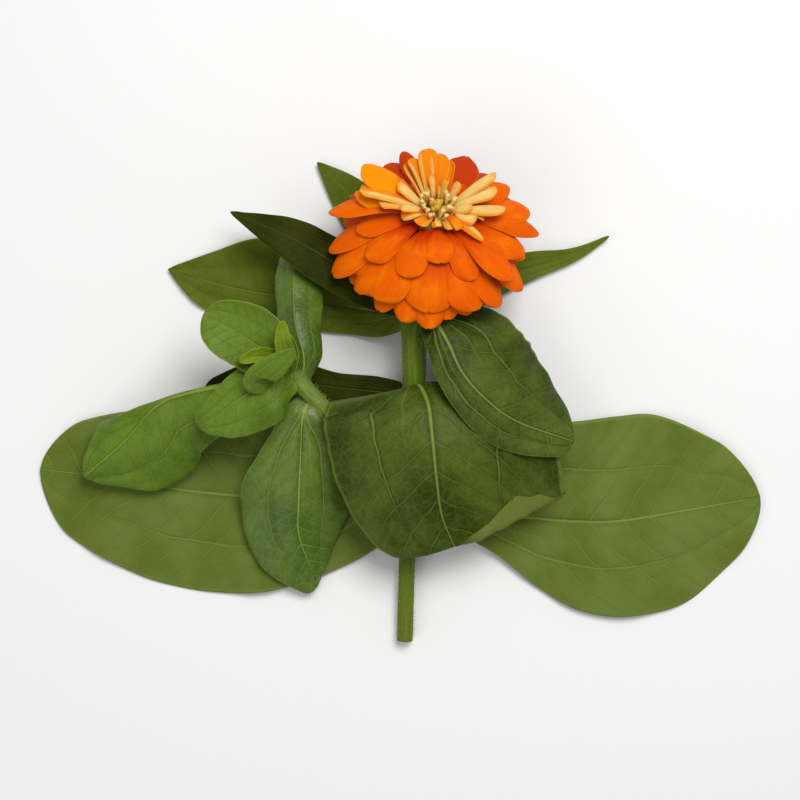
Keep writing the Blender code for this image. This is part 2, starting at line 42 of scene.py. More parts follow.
growingFrameAt = np.array([4.3, -77.8, 0.0])
goldenAngle = np.radians(137.508)
random = np.random.default_rng(7)

bloom = {"at": np.array([8.4, 143.6, 39]), "axis": np.array([0.06, 0.67, 0.74]),
         "neckDepth": 19.7}


def mathsOf(operation):
    # a method that puts a socket and another value through one Math node
    return lambda self, other=0.5: self.shader.maths(operation, self, other)


class Socket:
    # one output of a node; arithmetic on it adds Math nodes to its material
    def __init__(self, shader, out):
        self.shader = shader
        self.out = out

    def __rsub__(self, other):
        return self.shader.maths("SUBTRACT", other, self)

    __add__ = __radd__ = mathsOf("ADD")
    __sub__ = mathsOf("SUBTRACT")
    __mul__ = __rmul__ = mathsOf("MULTIPLY")
    __truediv__ = mathsOf("DIVIDE")
    __abs__ = mathsOf("ABSOLUTE")
    larger = mathsOf("MAXIMUM")
    triangle = mathsOf("PINGPONG")  # 0 at whole numbers, a half between them


class Shader:
    # a Principled material and the nodes that feed it
    def __init__(self, name, **fixed):
        self.material = bpy.data.materials.new(name)
        self.material.use_nodes = True
        self.tree = self.material.node_tree
        self.main = self.tree.nodes["Principled BSDF"]
        for socket, value in fixed.items():
            self.main.inputs[socket.replace("_", " ")].default_value = value

    def node(self, kind, settings, values, out=0):
        node = self.tree.nodes.new(kind)
        for key, value in settings.items():
            setattr(node, key, value)
        for key, value in (values.items() if isinstance(values, dict) else enumerate(values)):
            if isinstance(value, Socket):
                self.tree.links.new(value.out, node.inputs[key])
            else:
                node.inputs[key].default_value = value
        return Socket(self, node.outputs[out])

    def maths(self, operation, *values):
        return self.node("ShaderNodeMath", {"operation": operation}, values)

    def attribute(self, name):
        return self.node("ShaderNodeAttribute", {"attribute_name": name}, {}, "Fac")

    def place(self):
        return self.node("ShaderNodeTexCoord", {}, {}, "Object")

    def vector(self, x, y, z=0.0):
        return self.node("ShaderNodeCombineXYZ", {}, [x, y, z])

    def noise(self, where, scale, detail=2.0, roughness=0.5):
        return self.node("ShaderNodeTexNoise", {}, {"Vector": where, "Scale": scale,
                                                    "Detail": detail, "Roughness": roughness})

    def cellEdges(self, where, scale):
        # the distance to the nearest border in a net of cells
        return self.node("ShaderNodeTexVoronoi", {"feature": "DISTANCE_TO_EDGE"},
                         {"Vector": where, "Scale": scale})

    def mix(self, share, first, second):
        # mixes two colours; a plain colour is a tuple of three
        whole = [(*c, 1.0) if isinstance(c, tuple) else c for c in (first, second)]
        return self.node("ShaderNodeMix", {"data_type": "RGBA", "clamp_factor": True},
                         {0: share, 6: whole[0], 7: whole[1]}, 2)

    def paint(self, base, *coats):
        # lays coats of (share, colour) over a base, one after another
        for share, colour in coats:
            base = self.mix(share, base, colour)
        return base

    def step(self, value, low, high):
        # 0 below low, 1 above high, smooth between
        return self.node("ShaderNodeMapRange", {"interpolation_type": "SMOOTHSTEP"},
                         [value, low, high, 0.0, 1.0])

    def bump(self, height, strength, distance):
        return self.node("ShaderNodeBump", {}, {"Height": height, "Strength": strength,
                                                "Distance": distance})

    def feed(self, **sockets):
        for name, value in sockets.items():
            self.tree.links.new(value.out, self.main.inputs[name.replace("_", " ")])
        return self.material


def unit(vectors):
    vectors = np.asarray(vectors, float)
    return vectors / np.linalg.norm(vectors, axis=-1, keepdims=True)


def catmullRom(values, places):
    # the smooth curve through the rows of values, read at places that are counted in rows
    values = np.asarray(values, float)
    padded = np.concatenate([2 * values[:1] - values[1:2], values,
                             2 * values[-1:] - values[-2:-1]])
    row = np.minimum(places.astype(int), len(values) - 2)
    f = (places - row).reshape(-1, *[1] * (values.ndim - 1))
    a, b, c, d = (padded[row + k] for k in range(4))
    return 0.5 * (2 * b + (c - a) * f + (2 * a - 5 * b + 4 * c - d) * f**2
                  + (3 * b - a - 3 * c + d) * f**3)


def readPath(wanted, along, path):
    return np.stack([np.interp(wanted, along, column) for column in path.T], axis=1)


def smoothPath(points, count):
    # a Catmull-Rom curve through the points, read at even distances along it
    curve = catmullRom(points, np.linspace(0, len(points) - 1, 40 * len(points)))
    along = np.append(0, np.cumsum(np.linalg.norm(np.diff(curve, axis=0), axis=1)))
    return readPath(np.linspace(0, along[-1], count), along, curve)


def turnsOf(sides):
    # even turns round a circle, in radians
    return np.linspace(0, 2 * np.pi, sides, endpoint=False)


def bloomFrame():
    # rows: level across, up the far side, and the bloom's axis
    axis = unit(bloom["axis"])
    across = unit(np.cross(axis, [0.0, 0.0, 1.0]))
    return np.stack([across, np.cross(axis, across), axis])


def toGrowingFrame(points):
    return bloom["at"] + points @ bloomFrame()


def restOnSurface(points):
    # what would sink through the surface bends to lie along it, on a soft plus curve
    lowest, softness = 0.35, 1.2
    lifted = points.copy()
    lifted[..., 2] = lowest + softness * np.logaddexp(0, (points[..., 2] - lowest) / softness)
    return np.where(points[..., 2:3] > 8 * softness, points, lifted)


def gridFaces(count, rows, columns, wrap=False):
    # the corners of every quad of count grids of rows by columns points
    points = np.arange(count * rows * columns).reshape(count, rows, columns)
    if wrap:
        points = np.concatenate([points, points[..., :1]], axis=-1)
    low, high = points[:, :-1], points[:, 1:]
    quads = [low[..., :-1], low[..., 1:], high[..., 1:], high[..., :-1]]
    return np.stack(quads, axis=-1).reshape(-1, 4)


def closeRings(rings, starts, ends):
    # The points and faces of solids made of rings, (count, rows, sides, 3), where a fan of
    # triangles closes each one at its start and at its end.
    count, rows, sides = rings.shape[:3]
    points = np.arange(count * rows * sides).reshape(count, rows, sides)
    first, last = points[:, 0], points[:, -1]
    start = points.size + np.arange(count)[:, None] + 0 * first
    fans = [(np.roll(first, -1, axis=1), first, start),
            (last, np.roll(last, -1, axis=1), start + count)]
    triangles = [np.stack(fan, axis=-1).reshape(-1, 3) for fan in fans]
    return (np.vstack([rings.reshape(-1, 3), starts, ends]),
            [gridFaces(count, rows, sides, True), *triangles])


def newObject(name, data):
    made = bpy.data.objects.new(name, data)
    bpy.context.scene.collection.objects.link(made)
    return made


def putIntoMesh(name, vertices, faces, material, layers=None):
    # faces: a list of arrays, each (n, corners); layers: values that the material reads
    mesh = bpy.data.meshes.new(name)
    mesh.from_pydata((vertices + growingFrameAt) * mm, [], sum((f.tolist() for f in faces), []))
    for layer, values in (layers or {}).items():
        attribute = mesh.attributes.new(layer, "FLOAT", "POINT")
        attribute.data.foreach_set("value", np.asarray(values, np.float32).ravel())
    mesh.validate()
    mesh.shade_smooth()
    mesh.materials.append(material)
    return newObject(name, mesh)


def sheetPiece(name, grid, thickness, layers, material):
    # Thin closed blades, one for each grid of (count, rows, columns, 3): the points moved half
    # the thickness up and down the normal, the cross product of the grid's two directions,
    # thinner at the margin, and the two faces joined round the rim.
    count, rows, columns = grid.shape[:3]
    normals = unit(np.cross(np.gradient(grid, axis=1), np.gradient(grid, axis=2)) + 1e-12)
    v = np.linspace(-1, 1, columns)[None, None, :]
    u = np.linspace(0, 1, rows)[None, :, None]
    thin = np.sqrt(np.maximum(np.minimum(1 - np.abs(v) ** 6, 1 - u**12), 0.04))
    offset = normals * (thickness / 2 * thin)[..., None]
    points = np.arange(count * rows * columns).reshape(count, rows, columns)
    here = np.concatenate([points[:, 0, :-1], points[:, :-1, -1], points[:, -1, :0:-1],
                           points[:, :0:-1, 0]], axis=1)
    there = np.roll(here, -1, axis=1)
    total = points.size
    side = np.stack([here, here + total, there + total, there], axis=-1).reshape(-1, 4)
    top = gridFaces(count, rows, columns)
    both = {key: np.tile(np.broadcast_to(value, points.shape).ravel(), 2)
            for key, value in layers.items()}
    both["upper"] = np.repeat([1.0, 0.0], total)
    vertices = np.concatenate([(grid + offset).reshape(-1, 3), (grid - offset).reshape(-1, 3)])
    return putIntoMesh(name, vertices, [top[:, ::-1], top + total, side[:, ::-1]], material, both)


def alongTube(path):
    # the direction of a path at each of its points, and two directions square to it
    tangent = unit(np.gradient(path, axis=0))
    side = unit(np.cross(tangent, [0.0, 0.0, 1.0]))
    return tangent, side, np.cross(side, tangent)


def bristlePiece(name, roots, directions, lengths, thickness, droop, material):
    # Fine hairs: each a three-sided spike in two parts, the outer one bent by droop.
    directions = unit(directions)
    helper = np.where(np.abs(directions[:, 2:3]) < 0.9, [[0.0, 0.0, 1.0]], [[1.0, 0.0, 0.0]])
    a = unit(np.cross(directions, helper))
    b = np.cross(directions, a)
    turn = turnsOf(3)[None, :, None]
    ring = np.cos(turn) * a[:, None] + np.sin(turn) * b[:, None]
    long = lengths[:, None]
    middle = roots + directions * long * 0.55 + droop * 0.25 * long
    tip = roots + directions * long * 0.95 + droop * long
    foot = roots[:, None] + ring * thickness
    waist = middle[:, None] + ring * thickness * 0.6
    vertices = np.concatenate([foot, waist, tip[:, None]], axis=1).reshape(-1, 3)
    quads = np.array([[0, 1, 4, 3], [1, 2, 5, 4], [2, 0, 3, 5]])
    points = np.array([[3, 4, 6], [4, 5, 6], [5, 3, 6], [2, 1, 0]])
    start = (np.arange(len(roots)) * 7)[:, None, None]
    return putIntoMesh(name, vertices, [(quads + start).reshape(-1, 4),
                                        (points + start).reshape(-1, 3)], material)


# metres; each lamp has its watts, its place and its size, and "view" is the width seen
studio = {"floor": (0.90, 0.90, 0.895), "reach": 3.0, "world": 0.34,
          "lamps": {"keyLight": (7.4, (0.22, 0.42, 0.88), 0.5),
                    "fillLight": (1.8, (-0.5, -0.5, 0.7), 0.7)},
          "view": 0.284, "lens": 85.0, "lookAt": (0.0, -0.001, 0.02)}


def makeStudio():
    print("studio")
    floorShade = Shader("paleFloor", Roughness=0.8)
    grain = floorShade.noise(floorShade.place(), 900.0, 3.0)
    tone = floorShade.mix(grain, tuple(0.985 * c for c in studio["floor"]), studio["floor"])
    floorShade.feed(Base_Color=tone)
    reach = studio["reach"]
    corners = [(-reach, -reach, 0), (reach, -reach, 0), (reach, reach, 0), (-reach, reach, 0)]
    mesh = bpy.data.meshes.new("floor")
    mesh.from_pydata(corners, [], [(0, 1, 2, 3)])
    mesh.materials.append(floorShade.material)
    newObject("floor", mesh)

    world = bpy.data.worlds.new("softWhite")
    bpy.context.scene.world = world
    world.use_nodes = True
    sky = world.node_tree.nodes["Background"].inputs
    sky["Color"].default_value = (1, 1, 1, 1)
    sky["Strength"].default_value = studio["world"]
    for name, (energy, spot, size) in studio["lamps"].items():
        light = bpy.data.lights.new(name, "AREA")
        light.energy = energy
        light.size = size
        lamp = newObject(name, light)
        lamp.location = x, y, z = spot
        lamp.rotation_euler = (np.arctan2(np.hypot(x, y), z), 0.0, np.arctan2(-x, y) + np.pi)

    lens = bpy.data.cameras.new("camera")
    lens.lens = studio["lens"]
    distance = studio["view"] * studio["lens"] / lens.sensor_width
    x, y, z = studio["lookAt"]
    camera = newObject("camera", lens)
    camera.location = (x, y, z + distance)
    bpy.context.scene.camera = camera
    bpy.context.scene.view_settings.view_transform = "Standard"


makeStudio()


def petalGrid(petals, rows, columns):
    # Ray florets. Each entry of petals is one value for all of them or one for each.
    # A floret leaves the receptacle in its own upright plane, along a line whose slope runs
    # evenly from "leave" to "droop". Its width opens from the foot to the widest place and closes
    # along a curve of power "tip", and each cross-section is an arc of "roll" radians.
    t = (1 - (1 - np.linspace(0, 1, rows)) ** 1.5)[None, :, None]
    v = np.sin(np.linspace(-np.pi / 2, np.pi / 2, columns) * 0.92) / np.sin(0.46 * np.pi)
    v = v[None, None, :]
    count = len(petals["turn"])
    p = SimpleNamespace(**{key: np.broadcast_to(value, count).astype(float)[:, None, None]
                           for key, value in petals.items()})
    steps = 80
    fine = (np.arange(steps) + 0.5)[None, :] / steps
    slope = np.radians(p.leave[..., 0] + (p.droop - p.leave)[..., 0] * fine ** p.ease[..., 0])
    run, climb = (np.insert(np.cumsum(part, axis=1), 0, 0, axis=1) * p.length[..., 0] / steps
                  for part in (np.cos(slope), np.sin(slope)))
    lobes = p.notch * np.exp(-((v / 0.3) ** 2)) + p.ragged * np.sin(v * 7 + p.phase)
    reach = np.clip(t * (1 - t**8 * lobes), 0, 1)
    place = reach * (steps - 1e-6)
    low = place.astype(int)
    share = place - low
    each = np.arange(count)[:, None, None]

    def read(table):
        return table[each, low] * (1 - share) + table[each, low + 1] * share

    tilt = read(np.hstack([slope, slope[:, -1:]]))
    opening = np.sin(np.pi / 2 * np.clip(t / p.widest, 0, 1)) ** 1.4
    closing = np.clip((t - p.widest) / (1 - p.widest), 0, 1) ** p.tip
    full = (p.foot + (1 - p.foot) * opening) * np.sqrt(np.maximum(1 - closing, 0.004))
    roll = p.roll * (1 + (p.openTip - 1) * t**1.5)
    across = p.half * full / roll * np.sin(roll * v)
    lift = p.half * full / roll * (1 - np.cos(roll * v))
    ridges = np.cos(v * p.ridges * np.pi) * (1 - v**6)
    lift = lift + p.ridge * ridges * np.sin(np.pi * t) ** 0.7 * full
    lift = lift + p.ripple * np.sin(t * 9 + p.phase + 1.3 * v) * v**2 * t * full
    twist = p.twist * t**1.2
    across, lift = (across * np.cos(twist) - lift * np.sin(twist),
                    across * np.sin(twist) + lift * np.cos(twist))
    across = across + p.sway * t**2
    radius = p.root + read(run) - lift * np.sin(tilt)
    height = p.base + read(climb) + lift * np.cos(tilt)
    c, s = np.cos(np.radians(p.turn)), np.sin(np.radians(p.turn))
    points = np.stack([radius * c - across * s, radius * s + across * c, height], axis=-1)
    layers = {"along": reach, "across": v, "tone": p.tone, "age": p.age, "far": s}
    return restOnSurface(toGrowingFrame(points)), layers


# Each ray floret: degrees round the bloom, length, half width, slope at its foot and at its tip,
# foot's height below the disc, and the power of its tip, where 2.4 is blunt and 1.3 pointed.
rayFlorets = {
    "thickness": 0.34, "grid": (26, 15), "columns": "turn length half leave droop base tip",
    "upper": [
        (-80, 15, 6.6, 6, -52, -4.6, 2.4), (-114, 21.5, 6.7, 2, -56, -5.4, 2.4),
        (-149, 24.5, 6.6, 4, -48, -5.4, 2.2), (-173, 24, 5.4, 8, -34, -5.4, 2.2),
        (-52, 22.5, 6, 2, -56, -5.6, 2.4), (-29, 30.5, 6.6, 6, -46, -5.6, 2.2),
        (-6, 30, 7.4, 8, -44, -5.6, 2.2), (9, 36, 6.6, 18, -50, -5.6, 1.3),
        (19, 31, 6.6, 16, -28, -5, 2), (38, 27.5, 6.4, 28, -24, -5, 1.8),
        (175, 36, 6, 24, -46, -4.6, 1.5), (170, 25, 5, 20, -6, -4, 2),
        (158, 27, 7, 42, 2, -3.4, 3), (56, 13, 4.5, 42, 6, -6.4, 2),
        (76, 12, 4.5, 44, 10, -6.4, 2), (97, 12, 4.5, 44, 12, -6.4, 2),
        (118, 12, 4.5, 42, 10, -6.4, 2), (135, 13, 4.5, 40, 6, -6.4, 2)],
    "middle": [
        (-89, 28.5, 9, -8, -62, -8.2, 2.6), (-110, 24, 6, -8, -58, -9.6, 2.2),
        (-132, 31, 10.8, -4, -62, -7.6, 3), (-145, 33, 7, -2, -66, -8.8, 2.2),
        (-154, 29.5, 6, 0, -60, -7.8, 2), (-163, 38, 6.8, 2, -66, -8.2, 1.6),
        (-175, 37, 6.4, 8, -60, -7.4, 1.7), (-56, 30.5, 9.2, -8, -62, -8, 2.8),
        (-37, 33, 6.6, -4, -62, -8.6, 2), (-17, 36, 7, 0, -64, -8.2, 1.4),
        (152, 31, 6.6, 16, -36, -8.2, 1.5), (119, 34, 8.5, 16, -28, -8, 2),
        (112, 32, 4.2, 22, -14, -7.4, 1.3), (75, 33, 7.6, 18, -16, -8, 1.5),
        (61, 32, 7.8, 16, -26, -8, 1.8), (40, 30, 6.8, 10, -30, -8, 1.8),
        (2, 31, 6.4, 4, -52, -8.4, 2), (22, 31, 6.6, 8, -40, -8.2, 2),
        (90, 31.5, 6.6, 14, -24, -8.2, 2), (167, 30, 6.4, 8, -44, -8.2, 2)],
    "lower": [
        (-105, 30.5, 7, -16, -62, -11, 2.4), (-89, 31, 7.2, -16, -62, -11.4, 2.4),
        (-125, 30.5, 6.4, -14, -66, -11.2, 1.4), (-33, 32, 6.6, -10, -66, -10.6, 2),
        (-58, 28, 6.4, -16, -66, -11.2, 2.2), (-73, 28, 6.4, -18, -66, -11.2, 2.2)]
    + [(turn, 31, 6.6, leave, droop, -11, 2.2) for turn, leave, droop in (
        (-12, -8, -60), (10, -6, -54), (31, -4, -48), (52, -2, -44), (74, 0, -42), (95, 0, -42),
        (116, 0, -42), (138, -2, -46), (160, -4, -52), (181, -8, -58), (202, -10, -62))]
    + [(219, 29, 6.4, -12, -64, -11.2, 2.2)],
    # the foot colour is the florets' redder foot, darkened further as painted shade where the florets
    # overlap
    "colours": {"foot": (0.46, 0.022, 0), "body": (0.84, 0.126, 0), "streak": (0.64, 0.055, 0),
                "blush": (0.90, 0.190, 0), "deep": (0.76, 0.080, 0), "upper": (0.98, 0.30, 0),
                # the far-side colour is painted shade on the low florets of the far side of the bloom
                "far": (0.50, 0.036, 0), "margin": (0.96, 0.24, 0),
                "underside": (0.50, 0.10, 0.01)},
}


def rayMaterial(colour):
    # tone is a random number for each floret, age is 0 in the lowest row and 1 in the highest, and
    # the far-side value is 1 at the far side of the bloom, where the low rows get painted shade
    s = Shader("rayOrange", Specular_IOR_Level=0.05, Subsurface_Weight=0.08,
               Subsurface_Scale=0.0012, Subsurface_Radius=(1.0, 0.25, 0.05))
    along, across, tone, age, far, upper = map(
        s.attribute, ("along", "across", "tone", "age", "far", "upper"))
    streaks = s.noise(s.vector(across * 7.0 + tone * 40.0, along * 1.6), 2.6, 4.0, 0.6)
    blotch = s.noise(s.vector(across * 1.1 + tone * 17.0, along * 2.2), 1.5, 2.0)
    base = s.paint(
        # painted shade: dark from the foot to the middle of each floret, where the florets above
        # overlap it, over a redder foot
        s.mix(s.step(along, 0.15, 0.75), colour["foot"], colour["body"]),
        (s.step(streaks, 0.4, 0.75) * 0.5, colour["streak"]),
        (s.step(blotch, 0.42, 0.75) * s.step(along, 0.2, 0.6) * 0.75, colour["blush"]),
        (s.step(tone, 0.45, 1.0) * 0.35, colour["deep"]),
        (s.step(age, 0.86, 0.98) * 0.9, colour["upper"]),
        # painted shade: the low florets on the far side of the bloom are darkened to a dull red
        (s.step(far, -0.2, 0.7) * s.step(age, 0.9, 0.5) * 0.95, colour["far"]),
        (s.step(abs(across), 0.88, 1.0).larger(s.step(along, 0.94, 1.0)) * 0.35,
         colour["margin"]),
        ((1.0 - upper) * 0.6, colour["underside"]))
    veins = (across * 5.0 + s.noise(s.vector(across, along), 2.0) * 0.5).triangle() * 2.0
    fine = s.noise(s.place(), 2600.0, 2.0)
    height = s.step(veins, 0.0, 0.6) * 0.25 + streaks * 0.5 + fine * 0.12
    return s.feed(Base_Color=base, Roughness=0.55 + 0.12 * streaks,
                  Normal=s.bump(height, 0.3, 0.0003))


def readColumns(names, rows):
    return dict(zip(names.split(), np.array(rows, float).T))


def makeRays():
    print("ray florets")
    r = rayFlorets
    petals = readColumns(r["columns"], r["upper"] + r["middle"] + r["lower"])
    base, tip = petals["base"], petals["tip"]
    n = len(tip)
    jitter = random.normal(size=(6, n))
    petals |= dict(
        age=np.clip((base + 11.4) / 7.8, 0, 1), tone=random.random(n), root=3.4 - 0.25 * base,
        ease=1.0 + 0.05 * jitter[0], widest=0.71 + 0.03 * jitter[1], foot=0.20,
        notch=0.01 + 0.03 * random.random(n) ** 2,
        ragged=np.where(tip < 1.6, 0.03, 0.009) * jitter[2], roll=-0.85 + 0.22 * jitter[3],
        openTip=0.8, ridges=3, ridge=0.14 + 0.08 * random.random(n),
        ripple=0.3 + 0.4 * random.random(n), twist=0.07 * jitter[4], sway=0.5 * jitter[5],
        phase=random.random(n) * 6.3)
    grid, layers = petalGrid(petals, *r["grid"])
    piece = sheetPiece("rayFlorets", grid, r["thickness"], layers, rayMaterial(r["colours"]))
    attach(piece, "root")
    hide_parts("ray_florets")


makeRays()


# Young rays, rolled lengthwise: degrees round the bloom, length, half width, slope at the foot
# and at the tip, foot's height, the roll in radians each way, the cream share of the upper face,
# counted from the far edge going round, or from the near one when negative, and the tip's power.
innerRays = {
    "thickness": 0.34, "grid": (24, 21),
    "columns": "turn length half leave droop base roll cream tip",
    "rays": [
        (114, 19.5, 3.6, 66, 52, -2.6, 0.5, 0.2, 3.4), (90, 17.5, 3.4, 66, 50, -2.4, 0.5, 0.42, 3.4),
        (131, 17.5, 3.2, 62, 46, -2.4, 0.9, 0.42, 3), (68, 15.5, 3.4, 64, 48, -2.2, 0.9, 0.5, 3),
        (28, 21, 3.2, 44, 18, -2.4, -1.5, -0.8, 2), (18, 18.5, 3.5, 36, 6, -2.2, -1.6, 1, 2.2),
        (1, 20, 3.7, 24, -10, -2, -1.6, 1, 2), (4, 8.5, 3.6, 28, 6, -1.4, -1.3, 1, 3),
        (150, 16.5, 3.1, 58, 38, -2.2, 1.1, 0.5, 2.6), (174, 23.5, 4.2, 28, -6, -1.6, -0.6, 0.3, 2.4),
        (181, 16, 3.4, 22, -8, -1.4, -1.3, 0.8, 2.2), (166, 12.5, 3.2, 44, 24, -1.2, -1.1, 0.55, 2.6),
        (-150, 8.5, 3.4, 14, -34, -1.6, 0.9, 0.5, 2), (-118, 5.5, 2.8, 8, -24, -1.6, 0.7, 0.3, 2.2),
        (-88, 4, 2.2, 6, -20, -1.6, -0.9, 0.6, 2.2), (-34, 8, 3.1, 22, -40, -1.2, -1, 0.05, 3),
        (-56, 6, 2.8, 10, -20, -2, 0.8, 1, 1.8), (-30, 15.5, 2.3, 6, -26, -3, 0.7, 0.4, 1.3),
        (-7, 13.5, 1.2, 26, -46, -2.4, 1.2, 1, 2), (-14, 10.5, 3.2, 18, -10, -2, -1.3, 0.8, 2.4),
        (104, 9.5, 1.9, 66, 58, -1.4, 1, 0.6, 2.4), (124, 9, 2.2, 60, 50, -1.4, -1.2, 1, 2.4),
        (143, 9.5, 2, 50, 38, -1.4, -1.3, 1, 2.4), (76, 8, 1.8, 66, 58, -1.4, -1.2, 1, 2.4),
        (188, 9, 2.6, 26, 2, -1.4, -1.4, 1, 2.2), (48, 9, 2.2, 56, 42, -1.4, -1.3, 0.9, 2.4)],
    "inside": {"foot": (0.66, 0.09, 0), "body": (0.93, 0.26, 0), "streak": (0.80, 0.15, 0)},
    "cream": {"dull": (0.76, 0.45, 0.09), "body": (0.90, 0.66, 0.25), "foot": (0.62, 0.38, 0.02),
              "tan": (0.74, 0.36, 0.03), "tip": (0.93, 0.33, 0), "rim": (0.88, 0.30, 0)},
}


def innerRayMaterial(orange, pale):
    # age is 1 where the upper face is cream and 0 where it is orange; the lower face is all cream
    s = Shader("youngRay", Roughness=0.5, Specular_IOR_Level=0.15, Subsurface_Weight=0.1,
               Subsurface_Scale=0.001, Subsurface_Radius=(1.0, 0.5, 0.15))
    along, across, tone, upper, creamy = map(
        s.attribute, ("along", "across", "tone", "upper", "age"))
    streaks = s.noise(s.vector(across * 5.0 + tone * 30.0, along * 1.5), 3.0, 3.0, 0.6)
    inside = s.paint(s.mix(s.step(along, 0.05, 0.7), orange["foot"], orange["body"]),
                     (s.step(streaks, 0.45, 0.75) * 0.5, orange["streak"]))
    rim = s.step(abs(across) + streaks * 0.5, 0.85, 1.1) * s.step(along, 0.1, 0.5)
    cream = s.paint(s.mix(s.step(streaks, 0.3, 0.7), pale["dull"], pale["body"]),
                    (s.step(along, 0.45, 0.0) * 0.7, pale["foot"]),
                    (s.step(tone, 0.4, 0.9) * 0.75, pale["tan"]),
                    (s.step(along, 0.8, 1.0) * s.step(tone, 0.7, 0.2) * 0.8, pale["tip"]),
                    (rim * 0.8, pale["rim"]))
    band = s.step(creamy + streaks * 0.5 - 0.25, 0.35, 0.6)
    fine = s.noise(s.place(), 2600.0, 2.0)
    return s.feed(Base_Color=s.mix(upper * (1.0 - band), cream, inside),
                  Normal=s.bump(streaks + fine * 0.3, 0.5, 0.0005))


def makeInnerRays():
    print("young rays")
    r = innerRays
    petals = readColumns(r["columns"], r["rays"])
    cream, tip = petals["cream"][:, None, None], petals["tip"]
    n = len(tip)
    jitter = random.normal(size=(5, n))
    petals |= dict(
        age=0, tone=random.random(n), root=4.2, ease=1.0 + 0.2 * np.abs(jitter[3]),
        widest=np.where(tip < 1.5, 0.5, 0.84), foot=0.5, notch=0.03, ragged=0.015 * jitter[0],
        openTip=0.7, ridges=2, ridge=0.10, ripple=0.35, twist=0.3 * jitter[1],
        sway=0.8 * jitter[2], phase=random.random(n) * 6.3)
    grid, layers = petalGrid(petals, *r["grid"])
    side = layers["across"] * np.sign(cream)
    layers["age"] = np.clip((side + 2 * np.abs(cream) - 1) / 0.5 + 0.5, 0, 1)
    material = innerRayMaterial(r["inside"], r["cream"])
    piece = sheetPiece("innerRayFlorets", grid, r["thickness"], layers, material)
    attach(piece, "root")
    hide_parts("inner_ray_florets")


makeInnerRays()


discFlorets = {
    "count": 32, "radius": 5.0, "sides": 12, "rings": 13, "chaff": 130,
    "colours": {"tubeFoot": (0.42, 0.24, 0.01), "tube": (0.80, 0.50, 0.11),
                "lobes": (0.88, 0.70, 0.32), "budFoot": (0.38, 0.20, 0.004),
                "bud": (0.70, 0.42, 0.03), "grain": (0.50, 0.32, 0.01),
                "chaff": (0.30, 0.060, 0.004)},
}


def discMaterial(colour):
    s = Shader("discYellow", Roughness=0.5, Subsurface_Weight=0.1, Subsurface_Scale=0.001)
    along, tone = map(s.attribute, ("along", "tone"))
    tube = s.paint(s.mix(s.step(along, 0.1, 0.7), colour["tubeFoot"], colour["tube"]),
                   (s.step(along, 0.75, 0.97) * 0.8, colour["lobes"]))
    bud = s.mix(s.step(along, 0.2, 1.0), colour["budFoot"], colour["bud"])
    grain = s.noise(s.place(), 1400.0, 3.0)
    base = s.paint(bud, (s.step(tone, 0.3, 0.6), tube),
                   (s.step(grain, 0.45, 0.75) * 0.5, colour["grain"]))
    return s.feed(Base_Color=base, Normal=s.bump(grain, 0.4, 0.0003))


def discTubes(d):
    # Tubular florets on a dome. The outer ones are long cream tubes that lean out and end in five
    # small lobes; the middle ones are still short fat buds.
    n = d["count"]
    k = np.arange(n)[:, None, None]
    young = 1 - np.sqrt((k + 0.5) / n)
    jitter = random.normal(size=(6, n))[..., None, None]
    isOpen = np.clip((0.47 - young) / 0.12 + 0.7 * jitter[5], 0, 1)
    out = d["radius"] * (1 - young) + 0.3 * jitter[0]
    turn = k * goldenAngle + 0.15 * jitter[3]
    tall = np.clip(3.0 + isOpen * (2.2 + 1.3 * jitter[1]) + 0.5 * jitter[4], 2.0, 5.2)
    u = np.linspace(0, 1, d["rings"])[:, None]
    a = turnsOf(d["sides"])
    bud = np.sqrt(np.maximum(1 - np.abs(2 * u - 0.9) ** 3.0, 0.05))
    tube = (0.55 + 0.45 * u) * np.sqrt(1 - 0.8 * np.clip((u - 0.85) / 0.15, 0, 1) ** 2)
    radius = (1.15 - 0.32 * isOpen + 0.12 * jitter[2]) * ((1 - isOpen) * bud + isOpen * tube)
    radius = radius * (1 + 0.12 * np.cos(5 * a) * u**4)
    bow = u + 0.5 * u * (1 - u)
    x = out + tall * (0.35 * out / d["radius"] + 0.18 * jitter[3]) * bow
    y = tall * 0.22 * jitter[4] * bow**2
    z = -2.4 + 1.9 * young + tall * u
    c, s = np.cos(turn), np.sin(turn)
    centre = np.stack([x * c - y * s, x * s + y * c, z], axis=-1)
    ring = np.stack([radius * np.cos(a), radius * np.sin(a), 0 * radius], axis=-1)
    foot, mouth = toGrowingFrame(centre[:, 0, 0]), toGrowingFrame(centre[:, -1, 0])
    mouth = mouth + (0.2 - 0.35 * isOpen[:, 0]) * unit(bloom["axis"])
    points, faces = closeRings(toGrowingFrame(centre + ring), foot, mouth)
    ends = isOpen.ravel()
    layers = {"along": np.concatenate([(u + 0 * radius).ravel(), 0 * ends, 0.7 - 0.5 * ends]),
              "tone": np.concatenate([(isOpen + 0 * radius).ravel(), ends, ends])}
    return putIntoMesh("discFlorets", points, faces, discMaterial(d["colours"]), layers)


def discChaff(d):
    # red-brown scales between the florets, more slanted towards the rim of the disc
    n = d["chaff"]
    out = 1.1 * d["radius"] * np.sqrt(random.random(n))
    turn = random.random(n) * 2 * np.pi
    flat = np.stack([np.cos(turn), np.sin(turn)], axis=1)
    roots = toGrowingFrame(np.column_stack([flat * out[:, None], -1.0 - 0.3 * out]))
    lean = np.column_stack([flat * (0.12 * out)[:, None], np.ones(n)])
    lean = (lean + 0.25 * random.normal(size=(n, 3))) @ bloomFrame()
    rust = Shader("chaffRust", Base_Color=(*d["colours"]["chaff"], 1), Roughness=0.6)
    droop = np.array([0.0, 0.1, 0.0])
    return bristlePiece("discChaff", roots, lean, 2.5 + 2.8 * random.random(n), 0.22, droop,
                        rust.material)


def makeDisc():
    print("disc florets")
    for piece in (discTubes(discFlorets), discChaff(discFlorets)):
        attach(piece, "root")
        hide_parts("disc_florets")


